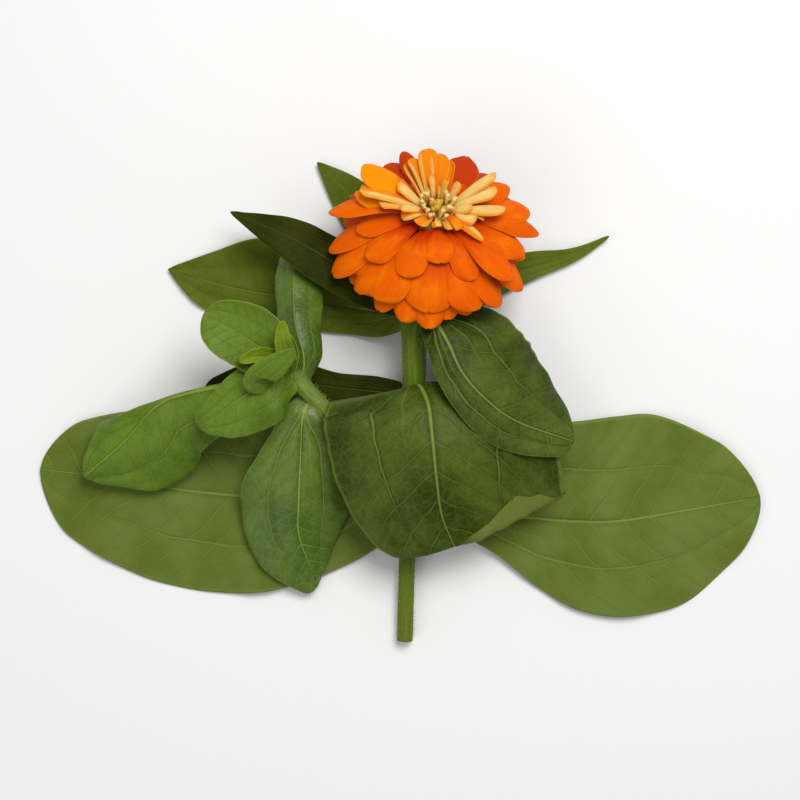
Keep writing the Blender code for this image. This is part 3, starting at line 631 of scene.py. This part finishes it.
def turnedPiece(name, profile, sides, material):
    # a solid turned about the bloom's axis: profile is (radius, height) from bottom to top, with
    # its ends on the axis
    radius, height = np.array(profile).T[..., None]
    turn = turnsOf(sides)
    rings = toGrowingFrame(np.stack([radius * np.cos(turn), radius * np.sin(turn),
                                     height + 0 * turn], axis=-1))
    return putIntoMesh(name, *closeRings(rings[None, 1:-1], rings[:1, 0], rings[-1:, 0]), material)


receptacle = {"radius": 7.4, "foot": -14.0, "waist": -9.6, "dome": 9.0, "sides": 40,
              "colours": ((0.20, 0.06, 0.005), (0.34, 0.20, 0.02))}


def makeReceptacle():
    # the cone that every floret stands on: a quarter of an ellipse above a short waist
    print("receptacle")
    r = receptacle
    s = Shader("receptacle", Roughness=0.7)
    s.feed(Base_Color=s.mix(s.noise(s.place(), 1200.0, 3.0), *r["colours"]))
    profile = [(0, r["foot"]), (5.6, r["foot"]), (r["radius"], -11.0)]
    profile += [(r["radius"] * np.cos(a) ** 0.8 + 1e-3, r["waist"] + r["dome"] * np.sin(a))
                for a in np.linspace(0, np.pi / 2, 9)[:-1]]
    profile += [(0, r["waist"] + r["dome"])]
    cone = turnedPiece("receptacle", profile, r["sides"], s.material)
    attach(cone, "root")


makeReceptacle()
makeDisc()


# involucre: rows of bracts, how many in each, and its greens
cup = {"rows": 4, "aRow": 10, "thickness": 0.4, "sides": 48, "dark": (0.045, 0.10, 0.012),
       "light": (0.12, 0.22, 0.03)}


def bractMaterial(dark, light):
    s = Shader("bractGreen", Roughness=0.5)
    place = s.place()
    grain = s.noise(place, 1500.0, 3.0)
    base = s.paint(s.mix(s.step(s.noise(place, 90.0, 3.0), 0.3, 0.7), dark, light),
                   (s.step(grain, 0.55, 0.8) * 0.35, tuple(0.5 + 0.5 * c for c in light)))
    return s.feed(Base_Color=base, Normal=s.bump(grain, 0.35, 0.0003))


def makeCup():
    # overlapping bracts in rows, each a short broad ray that clings to the cup
    print("involucre")
    green = bractMaterial(cup["dark"], cup["light"])
    n = cup["rows"] * cup["aRow"]
    k = np.arange(n)
    row = k // cup["aRow"]
    petals = dict(
        turn=(k + 0.5 * row) * 360 / cup["aRow"], age=row / cup["rows"], tone=random.random(n),
        root=4.4 + 0.95 * row, base=-18.9 + row, leave=34 + 12 * row, droop=66 + 6 * row, ease=1,
        length=5.6 - 0.8 * row, half=2.7 - 0.1 * row, widest=0.6, tip=1.8, foot=0.8, notch=0,
        ragged=0, roll=0.5, openTip=1, ridges=1, ridge=0.05, ripple=0.1, twist=0, sway=0,
        phase=random.random(n))
    grid, layers = petalGrid(petals, 12, 9)
    bracts = sheetPiece("involucreBracts", grid, cup["thickness"], layers, green)
    side = [(4.4 + 3.4 * np.sin(a), -19.3 + 5.2 * (1 - np.cos(a)))
            for a in np.linspace(0, np.pi / 2, 7)]
    core = turnedPiece("involucreCup", [(0, -19.4), *side, (0, -14.05)], cup["sides"], green)
    for piece in (bracts, core):
        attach(piece, "root")
        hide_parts("involucre")


makeCup()


stem = {"path": [(-2.6, -10.7, 3), (-1.8, 18, 5.6), (-0.6, 48, 10.4), (0.6, 80, 15.8),
                 (0.8, 104, 18.6), (2.8, 118, 18.6)],
        "radii": [2.85, 2.85, 2.95, 3.15, 4, 4.6, 4.6], "joints": (39.5, 79, 104),
        "ridges": 9, "depth": 0.035, "sides": 56, "hairs": 2600, "hairLength": 1.3,
        "dark": (0.066, 0.118, 0.002), "light": (0.150, 0.215, 0.008)}
# on both stems: how the joints swell, and the colours of the grain, the foot and the cut pith
stalks = {"jointSwell": 0.14, "jointWidth": 2.6, "grain": (0.26, 0.32, 0.08),
          "foot": (0.16, 0.13, 0.02), "pith": (0.55, 0.62, 0.30)}
hairs = {"thickness": 0.055, "sag": 0.12, "clear": 0.3}
paleHair = Shader("paleHair", Base_Color=(0.46, 0.54, 0.20, 1), Roughness=0.5).material


def stemMaterial(name, dark, light):
    s = Shader(name, Roughness=0.5, Specular_IOR_Level=0.2)
    along, across, pith = map(s.attribute, ("along", "across", "pith"))
    streaks = s.noise(s.vector(across * 9.0, along * 7.0), 2.4, 4.0, 0.6)
    grain = s.noise(s.place(), 1400.0, 3.0)
    base = s.paint(s.mix(s.step(streaks, 0.3, 0.7), dark, light),
                   (s.step(grain, 0.6, 0.8) * 0.3, stalks["grain"]),
                   (s.step(along, 0.12, 0.0) * 0.35, stalks["foot"]), (pith, stalks["pith"]))
    return s.feed(Base_Color=base, Normal=s.bump(streaks + grain * 0.5, 0.4, 0.0004))


def ridgedTube(name, stalk, path, material):
    # A closed tube. Its radius is read off a list along the path, waved by lengthwise ridges and
    # swollen by a bell curve at each joint.
    rings, sides = len(path), stalk["sides"]
    share, turn = np.linspace(0, 1, rings), turnsOf(sides)
    plain = np.interp(share, np.linspace(0, 1, len(stalk["radii"])), stalk["radii"])
    radius = plain[:, None] * (1 + stalk["depth"] * np.cos(stalk["ridges"] * turn))
    for joint in stalk["joints"]:
        near = np.exp(-((path[:, 1:2] - joint) / stalks["jointWidth"]) ** 2)
        radius = radius * (1 + stalks["jointSwell"] * near)
    _, side, up = alongTube(path)
    c, s = np.cos(turn)[:, None], np.sin(turn)[:, None]
    tube = path[:, None] + radius[..., None] * (c * side[:, None] - s * up[:, None])
    layers = {"along": np.append(np.repeat(share, sides), [0, 1]),
              "across": np.append(np.tile(np.sin(turn * 3) + turn, rings), [0, 0]),
              "pith": np.append(np.zeros(rings * sides), [1, 0])}
    piece = putIntoMesh(name, *closeRings(tube[None], path[:1], path[-1:]), material, layers)
    return piece, radius


def hairsOn(name, stalk, path, radius):
    # hairs stand square to the tube at random places, a little swept along it, and none of them
    # reaches down to the surface
    tangent, side, up = alongTube(path)
    count = stalk["hairs"]
    ring = random.integers(2, len(path) - 2, count)
    turn = random.random(count)[:, None] * 2 * np.pi
    out = np.cos(turn) * side[ring] - np.sin(turn) * up[ring]
    shift = random.random(count)[:, None] * (path[ring + 1] - path[ring])
    roots = path[ring] + shift + out * (radius.mean(axis=1)[ring] - 0.05)[:, None]
    lengths = stalk["hairLength"] * (0.5 + random.random(count))
    lean = out + 0.35 * random.normal(size=(count, 3)) + 0.2 * tangent[ring]
    tips = roots[:, 2] + (unit(lean)[:, 2] - hairs["sag"]) * lengths
    keep = (roots[:, 2] > hairs["clear"]) & (tips > hairs["clear"])
    return bristlePiece(name, roots[keep], lean[keep], lengths[keep], hairs["thickness"],
                        np.array([0.0, 0.0, -hairs["sag"]]), paleHair)


def makeStalk(name, stalk, path, node):
    green = stemMaterial(name + "Green", stalk["dark"], stalk["light"])
    tube, radius = ridgedTube(name + "Tube", stalk, path, green)
    for piece in (tube, hairsOn(name + "Hairs", stalk, path, radius)):
        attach(piece, "root")
        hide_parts(node)


def makeStem():
    # the stem runs on under the bracts and ends straight along the bloom's axis
    print("stem")
    axis = unit(bloom["axis"])
    neck = bloom["at"] - bloom["neckDepth"] * axis
    path = np.vstack([smoothPath([*stem["path"], neck - 2.5 * axis], 199), neck])
    makeStalk("stem", stem, path, "stem")


makeStem()


# Each tint: the dark and the light green, the colour of the veins, roughness and gloss, and how
# strongly the slanting veins and the net of fine ones show.
leafTints = {
    # the "deep" tint is the leaves' own green darkened as painted shade, for leaves that lie in shadow
    "deep": ((0.010, 0.014, 0), (0.034, 0.042, 0.001), (0.10, 0.12, 0.02), 0.5, 0.05, 0.2, 0.05),
    "dark": ((0.022, 0.041, 0), (0.074, 0.106, 0.010), (0.20, 0.28, 0.05), 0.42, 0.12, 0.3, 0.11),
    "middle": ((0.070, 0.100, 0.002), (0.120, 0.156, 0.012), (0.20, 0.24, 0.04),
               0.5, 0.08, 0.35, 0.08),
    "pale": ((0.102, 0.148, 0.014), (0.140, 0.192, 0.036), (0.21, 0.28, 0.07), 0.6, 0.08, 0.5, 0.06),
    "bright": ((0.058, 0.122, 0.001), (0.122, 0.205, 0.014), (0.25, 0.35, 0.05),
               0.38, 0.2, 0.45, 0.13),
    "fresh": ((0.044, 0.096, 0.001), (0.100, 0.170, 0.010), (0.27, 0.35, 0.07),
              0.34, 0.4, 0.45, 0.13),
    "young": ((0.13, 0.21, 0.003), (0.24, 0.33, 0.015), (0.36, 0.44, 0.07), 0.45, 0.15, 0.4, 0.12),
}
underside = (0.135, 0.165, 0.028)

# The outer and the inner laterals run at these shares of the half width. The slanting veins are
# raked and bowed away from the midrib, and stand this many millimetres apart on a large leaf.
veins = {"outer": 0.58, "inner": 0.29, "rake": 0.72, "bow": 0.006, "apart": 11.0, "taper": 0.25}


def slantCount(out, up, scale, bend=0.0):
    # whole numbers lie on the slanting veins, for a place this far out from the midrib and up it
    return ((up - out * veins["rake"] - out * out * veins["bow"] / scale + bend * 6.0 * scale)
            / (veins["apart"] * scale))


def leafMaterial(name, dark, light, vein, rough, shine, slanting, netted):
    # A leaf's veins: the midrib, two arching laterals each side, slanting veins off the midrib and
    # a fine net. Each vein is pale, lies in a groove, and has painted shade beside it, a darker line.
    s = Shader(name, Specular_IOR_Level=shine, Subsurface_Weight=0.03, Subsurface_Scale=0.001)
    along, across, x, y, reach, scale, seed, upper = map(s.attribute, (
        "along", "across", "leafX", "leafY", "reach", "leafScale", "tone", "upper"))
    place = s.vector(x, y, seed * 50.0)
    bend = s.noise(place, 0.07, 2.0) - 0.5
    side, margin = abs(x), abs(across)
    rise = s.step(along, 0.0, 0.28) * (1.0 - veins["taper"] * along)
    fine = scale * (1.0 - 0.8 * along)
    midrib = side / (scale * (1.25 - along))
    outer = abs(side - rise * reach * veins["outer"] + bend * 3.0 * scale) / fine
    inner = abs(side - rise * reach * veins["inner"] + bend * 4.0 * scale) / fine
    slant = slantCount(side, y, scale, bend).triangle() * 10.0
    lines = ((1.0 - s.step(midrib, 0.45, 1.0)) * (0.9 - 0.3 * along)).larger(
        (1.0 - s.step(outer, 0.25, 0.85)) * s.step(along, 0.97, 0.6) * 0.5).larger(
        (1.0 - s.step(inner, 0.2, 0.7)) * s.step(along, 0.55, 0.15) * 0.35).larger(
        (1.0 - s.step(slant, 0.05, 0.4)) * s.step(margin, 1.0, 0.6) * slanting)
    # painted shade: darker green beside the midrib, the outer laterals and, half as strong, the
    # slanting veins, where the grooves' sides are shaded
    grooveShade = (1.0 - s.step(midrib, 1.0, 3.5)).larger(1.0 - s.step(outer, 0.8, 3.0)).larger(
        (1.0 - s.step(slant, 0.4, 1.6)) * 0.5)
    cells = s.cellEdges(s.vector(x + bend * 2.0, y + bend * 3.0, seed * 50.0), 0.34)
    tone = s.noise(place, 0.045, 3.0)
    speckle = s.noise(place, 1.3, 3.0)
    base = s.paint(
        s.mix(s.step(tone, 0.32, 0.68), dark, light),
        # the second coat here is the painted shade beside the veins
        (s.step(speckle, 0.4, 0.8) * 0.3, light), (grooveShade * 0.6, dark),
        (lines.larger((1.0 - s.step(cells, 0.0, 0.10)) * netted), vein),
        (s.step(margin, 0.955, 0.985) * 0.5, vein), (s.step(along, 0.14, 0.0) * 0.4, vein),
        ((1.0 - upper) * 0.9, underside))
    pucker = s.noise(place, 0.12, 1.0)
    height = s.step(cells, 0.0, 0.3) * 0.14 + speckle * 0.2 + pucker * 2.0 - lines * 1.1
    return s.feed(Base_Color=base, Roughness=rough + 0.12 * tone,
                  Normal=s.bump(height, 0.5, 0.0008))


def turnOver(points, at, along, facing, bend=0.9):
    # what lies beyond a line across the blade is rolled up over it, round a bend of this radius
    along = unit(along)
    outward = unit(np.cross(along, facing))
    facing = np.cross(outward, along)
    beyond = (points - at) @ outward
    height = (points - at) @ facing
    angle = np.clip(beyond / bend, 0, np.pi)
    out = (np.minimum(beyond, 0) + bend * np.sin(angle) - np.maximum(beyond - np.pi * bend, 0)
           - height * np.sin(angle))
    up = bend * (1 - np.cos(angle)) + height * np.cos(angle)
    return (at + ((points - at) @ along)[..., None] * along + out[..., None] * outward
            + up[..., None] * facing)


blade = {"thickness": 0.45, "leafGrid": (84, 57), "shootGrid": (60, 41), "fullWidth": 35.0,
         "midribGroove": 0.9, "lateralGroove": 0.6, "quilt": 0.34, "swell": 1.1, "ripple": 0.3}


def leafSheet(leaf, rows, columns):
    # The middle surface of a leaf. Its midrib is a smooth curve; "right" and "left" are the half
    # widths at even stations along it, rounded off over the last "blunt" share. Each half is a
    # line walked out from the midrib, whose slope starts at the fold and gains the curl towards
    # the margin. "sweep" carries a margin back at the base and forward near the tip, and what
    # lies beyond the line "turned" is rolled over the blade. A larger "stiff" evens out how the
    # cross-lines follow a bend of the midrib. Veins lie in grooves, the blade between them is
    # quilted, and the whole is gently waved.
    u = 1 - (1 - np.linspace(0, 1, rows)) ** 1.25
    fine = 241
    even = np.linspace(0, 1, fine)
    curve = smoothPath(leaf["midrib"], fine)
    near = leaf.get("stiff", 0.1)
    path, ahead, behind = (readPath(np.clip(at, 0, 1), even, curve)
                           for at in (u, u + near, u - near))
    tangent = unit(ahead - behind)
    axis = unit(curve[-1] - curve[0])
    start, end = (unit(f) for f in leaf["face"])
    blend = np.clip(u / 0.45, 0, 1)[:, None]
    face = unit(start * (1 - blend) + end * blend)
    side = unit(np.cross(tangent, face))
    face = np.cross(side, tangent)
    length = np.linalg.norm(np.diff(path, axis=0), axis=1).sum()
    closing = np.clip((u - 1 + leaf["blunt"]) / leaf["blunt"], 0, 1)
    closing = np.sqrt(np.maximum(1 - closing**2, 0.0004))
    scale = np.clip(max(*leaf["right"], *leaf["left"]) / blade["fullWidth"], 0.3, 1.0)
    phase = leaf["seed"] * 2.7
    steps = 60
    known = np.linspace(0, 1, steps + 1)
    wanted = np.linspace(0, 1, columns // 2 + 1) ** (1.0 if "turned" in leaf else 1.2)
    t = (np.arange(steps) + 0.5) / steps
    u = u[:, None]
    outer = veins["outer"] * (1 - np.exp(-9 * u)) * (1 - veins["taper"] * u)
    halves = []
    for which, (sign, key) in enumerate(((1, "right"), (-1, "left"))):
        reach = np.maximum(catmullRom(leaf[key], u[:, 0] * (len(leaf[key]) - 1)), 0.5) * closing
        reach = reach[:, None]
        slope = np.radians(leaf["fold"][which] + leaf["curl"][which] * t**1.5)
        out, lift = (np.interp(wanted, known, np.append(0, np.cumsum(part)) / steps)
                     for part in (np.cos(slope), np.sin(slope)))
        lean = np.interp(wanted, known, np.append(slope[0], slope))
        x = reach * wanted
        y = u * length + 0 * x
        relief = -blade["midribGroove"] * np.exp(-((x / (2.0 * scale)) ** 2)) * (1 - 0.8 * u)
        relief -= blade["lateralGroove"] * np.exp(-(((x - outer * reach) / (2.4 * scale)) ** 2))
        relief -= (blade["quilt"] * scale * np.cos(2 * np.pi * slantCount(x, y, scale))
                   * np.sin(np.pi * wanted) ** 2)
        relief += (blade["swell"] * scale * np.sin(0.10 * x / scale + phase + which)
                   * np.sin(0.07 * y / scale + 2 * phase))
        wave = leaf["wave"] * wanted**2 * np.sin(u * 15 + which * 2.2 + phase)
        wave += blade["ripple"] * scale * wanted**4 * np.sin(u * 47 + phase + which)
        room = np.minimum(1, 5 * u) * np.minimum(1, reach / (8 * scale))
        bump = (relief * np.clip((scale - 0.25) / 0.4, 0, 1) + wave) * room
        back, forward = leaf.get("sweep", {}).get(which, (0, 0))
        shift = closing[:, None] * (forward * u**2 - back * (1 - u) ** 2) * wanted**2
        out, lift = out * reach - bump * np.sin(lean), lift * reach + bump * np.cos(lean)
        half = (path[:, None] + shift[..., None] * axis + sign * side[:, None] * out[..., None]
                + face[:, None] * lift[..., None])
        one = (half, sign * x, y, reach + 0 * x, sign * wanted + 0 * x)
        halves.append([a[:, ::-1] if sign > 0 else a[:, 1:] for a in one])
    grid, x, y, reach, across = (np.concatenate(pair, axis=1) for pair in zip(*halves))
    layers = {"along": u, "across": across, "leafX": x, "leafY": y, "reach": reach,
              "leafScale": scale, "tone": leaf["seed"] % 1}
    if "turned" in leaf:
        grid = turnOver(grid, *leaf["turned"])
    return restOnSurface(grid), layers


leaves = {
    "leaf_left_large": dict(
        midrib=[(0, 38.5, 8.2), (-9, 38.5, 5.5), (-35.5, 40, 2.6), (-63.5, 42, 2),
                (-87.5, 44.5, 1.8), (-117.5, 49.5, 1.8), (-135.5, 51.5, 1.6)],
        face=[(-0.1, 0, 1), (0, 0, 1)], right=(4, 15, 22, 27, 29, 29, 27, 21, 13),
        left=(4, 19, 28, 34, 36, 35, 31, 25, 15), blunt=0.10, fold=(0, 0), curl=(-3, -5), wave=1.4,
        tint="pale", seed=9.5),
    "leaf_right_large": dict(
        midrib=[(0, 38.5, 8.6), (11, 36.5, 6.5), (40.5, 34, 3), (71, 32.5, 2.4),
                (96.5, 36, 2.2), (127, 41.5, 1.8)],
        face=[(0.1, 0, 1), (0, 0, 1)], right=(4, 7, 14, 25, 33, 35, 33, 23, 11),
        left=(4, 16, 27, 34, 37, 38, 36, 26, 13), blunt=0.09, fold=(1, 1), curl=(-6, -4), wave=1.4,
        tint="pale", seed=8.9),
    "leaf_front": dict(
        midrib=[(0.5, 82, 17), (2.5, 82.5, 26), (5.5, 75.5, 33.5), (7, 63, 36),
                (8.5, 49, 33), (10.5, 36, 28), (15, 25, 23)],
        face=[(0, 0.7, 0.7), (0, 0, 1)], right=(32, 36.5, 37, 38, 37.5, 34, 28, 19),
        left=(7, 34, 42, 44.5, 45, 46, 49, 44), blunt=0.06, fold=(-4, -8), curl=(-20, -20),
        wave=0.9, sweep={0: (8, 1), 1: (0, 22)},
        turned=[(33.5, 33, 20.5), (36, 17.5, -6), (0, 0.2, 1)], tint="dark", seed=1.3),
    "leaf_right_front": dict(
        midrib=[(3.5, 110.5, 24), (8, 104.5, 29), (12.5, 97, 33), (17, 87.5, 35.5),
                (24.5, 78.5, 35.5), (36.5, 69.5, 32.5), (57, 62, 25)],
        face=[(0.1, 0.4, 0.9), (0.2, 0.4, 0.9)], right=(3, 6.5, 9, 10, 11.5, 11.5, 9, 5),
        left=(6, 22, 27, 30, 31, 28, 21.5, 10), stiff=0.3, blunt=0.05, fold=(-16, -4), curl=(-22, -14),
        wave=0.6, tint="dark", seed=2.6),
    "leaf_left_high": dict(
        midrib=[(1, 110, 19), (-6.5, 113, 20), (-23.5, 123, 19), (-42.5, 134, 22.5),
                (-64.5, 143.5, 21.5)],
        face=[(0, 0.1, 1), (0.1, 0.3, 1)], right=(4, 9, 10, 9, 6, 0.5),
        left=(4, 8, 9.5, 9, 5.5, 0.5), blunt=0.03, fold=(-8, -4), curl=(-8, -12), wave=0.4,
        # tint "deep": painted shade, as this leaf lies in shadow below the left ray florets
        tint="deep", seed=3.8),
    "leaf_left_low": dict(
        midrib=[(0.5, 105.5, 16), (-8.5, 108, 9), (-24.5, 111, 3.6), (-50.5, 115, 1.8),
                (-70.5, 119, 1.6), (-89, 124.5, 1.6)],
        face=[(0, 0, 1), (0, 0, 1)], right=(3, 8, 14, 19, 21, 18.5, 10.5, 0.5),
        left=(3, 9, 10, 10.5, 11.5, 12, 9, 0.5), blunt=0.03, fold=(0, -4), curl=(4, -4), wave=0.8,
        tint="middle", seed=4.1),
    "leaf_right_low": dict(
        midrib=[(1.5, 105, 15), (8.5, 109.5, 9.5), (26.5, 120, 4.5), (44, 125.5, 2.4),
                (59, 129.5, 1.8), (72, 136.5, 2.4)],
        face=[(0, 0.2, 1), (0, -0.1, 1)], right=(4, 8, 7.5, 5, 2.5, 0.5), left=(4, 7, 7, 6, 3, 0.5),
        blunt=0.03, fold=(6, 10), curl=(6, 8), wave=0.4, tint="middle", seed=5.7),
    "leaf_back_high": dict(
        midrib=[(2, 119, 15.5), (-3.5, 125, 8.5), (-12.5, 138, 2.4), (-23, 152, 1.4),
                (-34.5, 163.5, 2)],
        face=[(-0.3, -0.5, 1), (0, 0, 1)], right=(4, 8, 9.5, 9, 5.5, 0.5),
        left=(4, 7, 9, 9, 6, 0.5), blunt=0.03, fold=(0, 0), curl=(4, 4), wave=0.3, tint="middle",
        seed=6.2),
    "leaf_left_middle": dict(
        midrib=[(0, 77, 13), (-6.5, 79, 7), (-24, 81, 2.4), (-47.5, 83, 1.4),
                (-75.5, 80.5, 1.4)],
        face=[(-0.2, 0, 1), (0, 0, 1)], right=(4, 5.5, 5.5, 8.5, 8, 3), left=(4, 8, 9, 9, 7, 3),
        # tint "deep": painted shade, this leaf is darkened as if it lay in shadow
        blunt=0.05, fold=(0, 0), curl=(4, 3), wave=0.6, tint="deep", seed=7.4),
}

shootLeaves = {
    "shootLong": dict(
        midrib=[(-40, 84, 24.5), (-47.5, 84.5, 28), (-60.5, 82.5, 29), (-77.5, 79.5, 27.5),
                (-90.5, 74.5, 24.5), (-103, 61.5, 19), (-118, 49, 11.5)],
        face=[(-0.2, 0, 1), (0.1, -0.2, 1)], right=(4, 2, 1.5, 1.5, 2.5, 9, 14.5, 2),
        left=(5, 14, 18, 21, 24.5, 28, 21, 2), blunt=0.03, fold=(-30, -2), curl=(-34, -26), wave=1.2,
        tint="bright", seed=1.7),
    "shootShort": dict(
        midrib=[(-40.5, 85.5, 26), (-48, 84, 33), (-57, 79, 35), (-65.5, 73.5, 33),
                (-75.5, 68, 29)],
        face=[(-0.4, 0, 1), (0, 0, 1)], right=(4, 9, 9, 7, 3), left=(5, 12.5, 14, 11, 4),
        blunt=0.06, fold=(4, 0), curl=(-8, -24), wave=0.4, tint="bright", seed=2.4),
    "shootRound": dict(
        midrib=[(-43, 87.5, 27.5), (-48, 92, 34), (-55.5, 97, 37), (-63.5, 102, 39.5),
                (-72, 106, 42)],
        face=[(-0.7, 0.3, 0.7), (0, 0, 1)], right=(4, 10, 12.5, 11, 5.5), left=(4, 9, 11, 11, 7),
        blunt=0.10, fold=(2, 2), curl=(34, 34), wave=0.3, tint="bright", seed=3.3),
    "shootUpright": dict(
        midrib=[(-39, 83, 23.5), (-38, 92, 27.5), (-41, 104, 26), (-42, 117.5, 20.5),
                (-41.5, 131.5, 15)],
        face=[(0.2, -0.5, 0.8), (0, 0.3, 1)], right=(4, 8.5, 10.5, 12, 11),
        left=(4, 7, 8, 8.5, 7.5), blunt=0.06, fold=(-16, -30), curl=(-30, -16), wave=0.4,
        tint="fresh", seed=4.6),
    "shootHanging": dict(
        midrib=[(-36, 77, 21), (-38.5, 71, 24), (-39.5, 57, 21), (-40.5, 40.5, 16),
                (-40.5, 27.5, 11), (-34, 9.5, 6)],
        face=[(0, 0.3, 1), (0, 0, 1)], right=(5, 10.5, 16.5, 22, 21, 14, 3),
        left=(5, 11, 14.5, 18, 19, 12.5, 0.5), blunt=0.03, fold=(-4, -8), curl=(-22, -26), wave=0.8,
        sweep={0: (0, 4)}, tint="fresh", seed=5.2),
    "budLeft": dict(
        midrib=[(-41.5, 87.5, 27), (-47.5, 91, 37), (-53.5, 92, 41), (-59.5, 90, 43)],
        face=[(-0.7, 0.2, 0.7), (0, 0, 1)], right=(2, 3.5, 3.5, 1.5), left=(2, 3.5, 3.5, 1.5),
        blunt=0.08, fold=(26, 26), curl=(14, 14), wave=0, tint="young", seed=6.6),
    "budRight": dict(
        midrib=[(-42, 87.5, 27), (-44, 91.5, 36), (-45, 97.5, 42), (-44.5, 104, 45)],
        face=[(0, -0.7, 0.7), (0.2, 0, 1)], right=(2, 3.8, 3.8, 1.5), left=(2, 3, 3, 1.5),
        blunt=0.08, fold=(20, 20), curl=(10, 10), wave=0, tint="young", seed=7.1),
    "budFront": dict(
        midrib=[(-42, 86, 27), (-49, 83.5, 35), (-53.5, 83.5, 40.5), (-50, 87, 44),
                (-40, 94, 46)],
        face=[(-0.8, 0, 0.5), (0.3, -0.4, 1)], right=(3, 5, 6, 5.5, 2), left=(3, 5, 5, 4, 1.5),
        blunt=0.08, fold=(0, 0), curl=(-10, -10), wave=0, tint="bright", seed=8.3),
}


def makeLeaf(name, leaf, materials, grid, node):
    sheet, layers = leafSheet(leaf, *grid)
    piece = sheetPiece(name, sheet[None], blade["thickness"], layers, materials[leaf["tint"]])
    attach(piece, "root")
    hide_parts(node)


def makeLeaves():
    print("leaves")
    materials = {name: leafMaterial(name + "Leaf", *tint) for name, tint in leafTints.items()}
    for node, leaf in leaves.items():
        name = node.title().replace("_", "")
        makeLeaf(name[0].lower() + name[1:], leaf, materials, blade["leafGrid"], node)
    print("side shoot")
    for name, leaf in shootLeaves.items():
        makeLeaf(name, leaf, materials, blade["shootGrid"], "side_shoot")


makeLeaves()


shoot = {"path": [(-1, 44, 11.5), (-14, 57, 15), (-28, 70.5, 18.5),
                  (-38, 81, 23), (-43, 87, 27), (-46.5, 89.5, 32)],
         "radii": [2.8, 2.6, 2.6, 2.7, 3.1, 1.6], "joints": (), "ridges": 7, "depth": 0.04,
         "sides": 40, "hairs": 900, "hairLength": 1.5,
         "dark": (0.10, 0.17, 0.02), "light": (0.24, 0.34, 0.06)}

makeStalk("shoot", shoot, smoothPath(shoot["path"], 90), "side_shoot")

print("done")
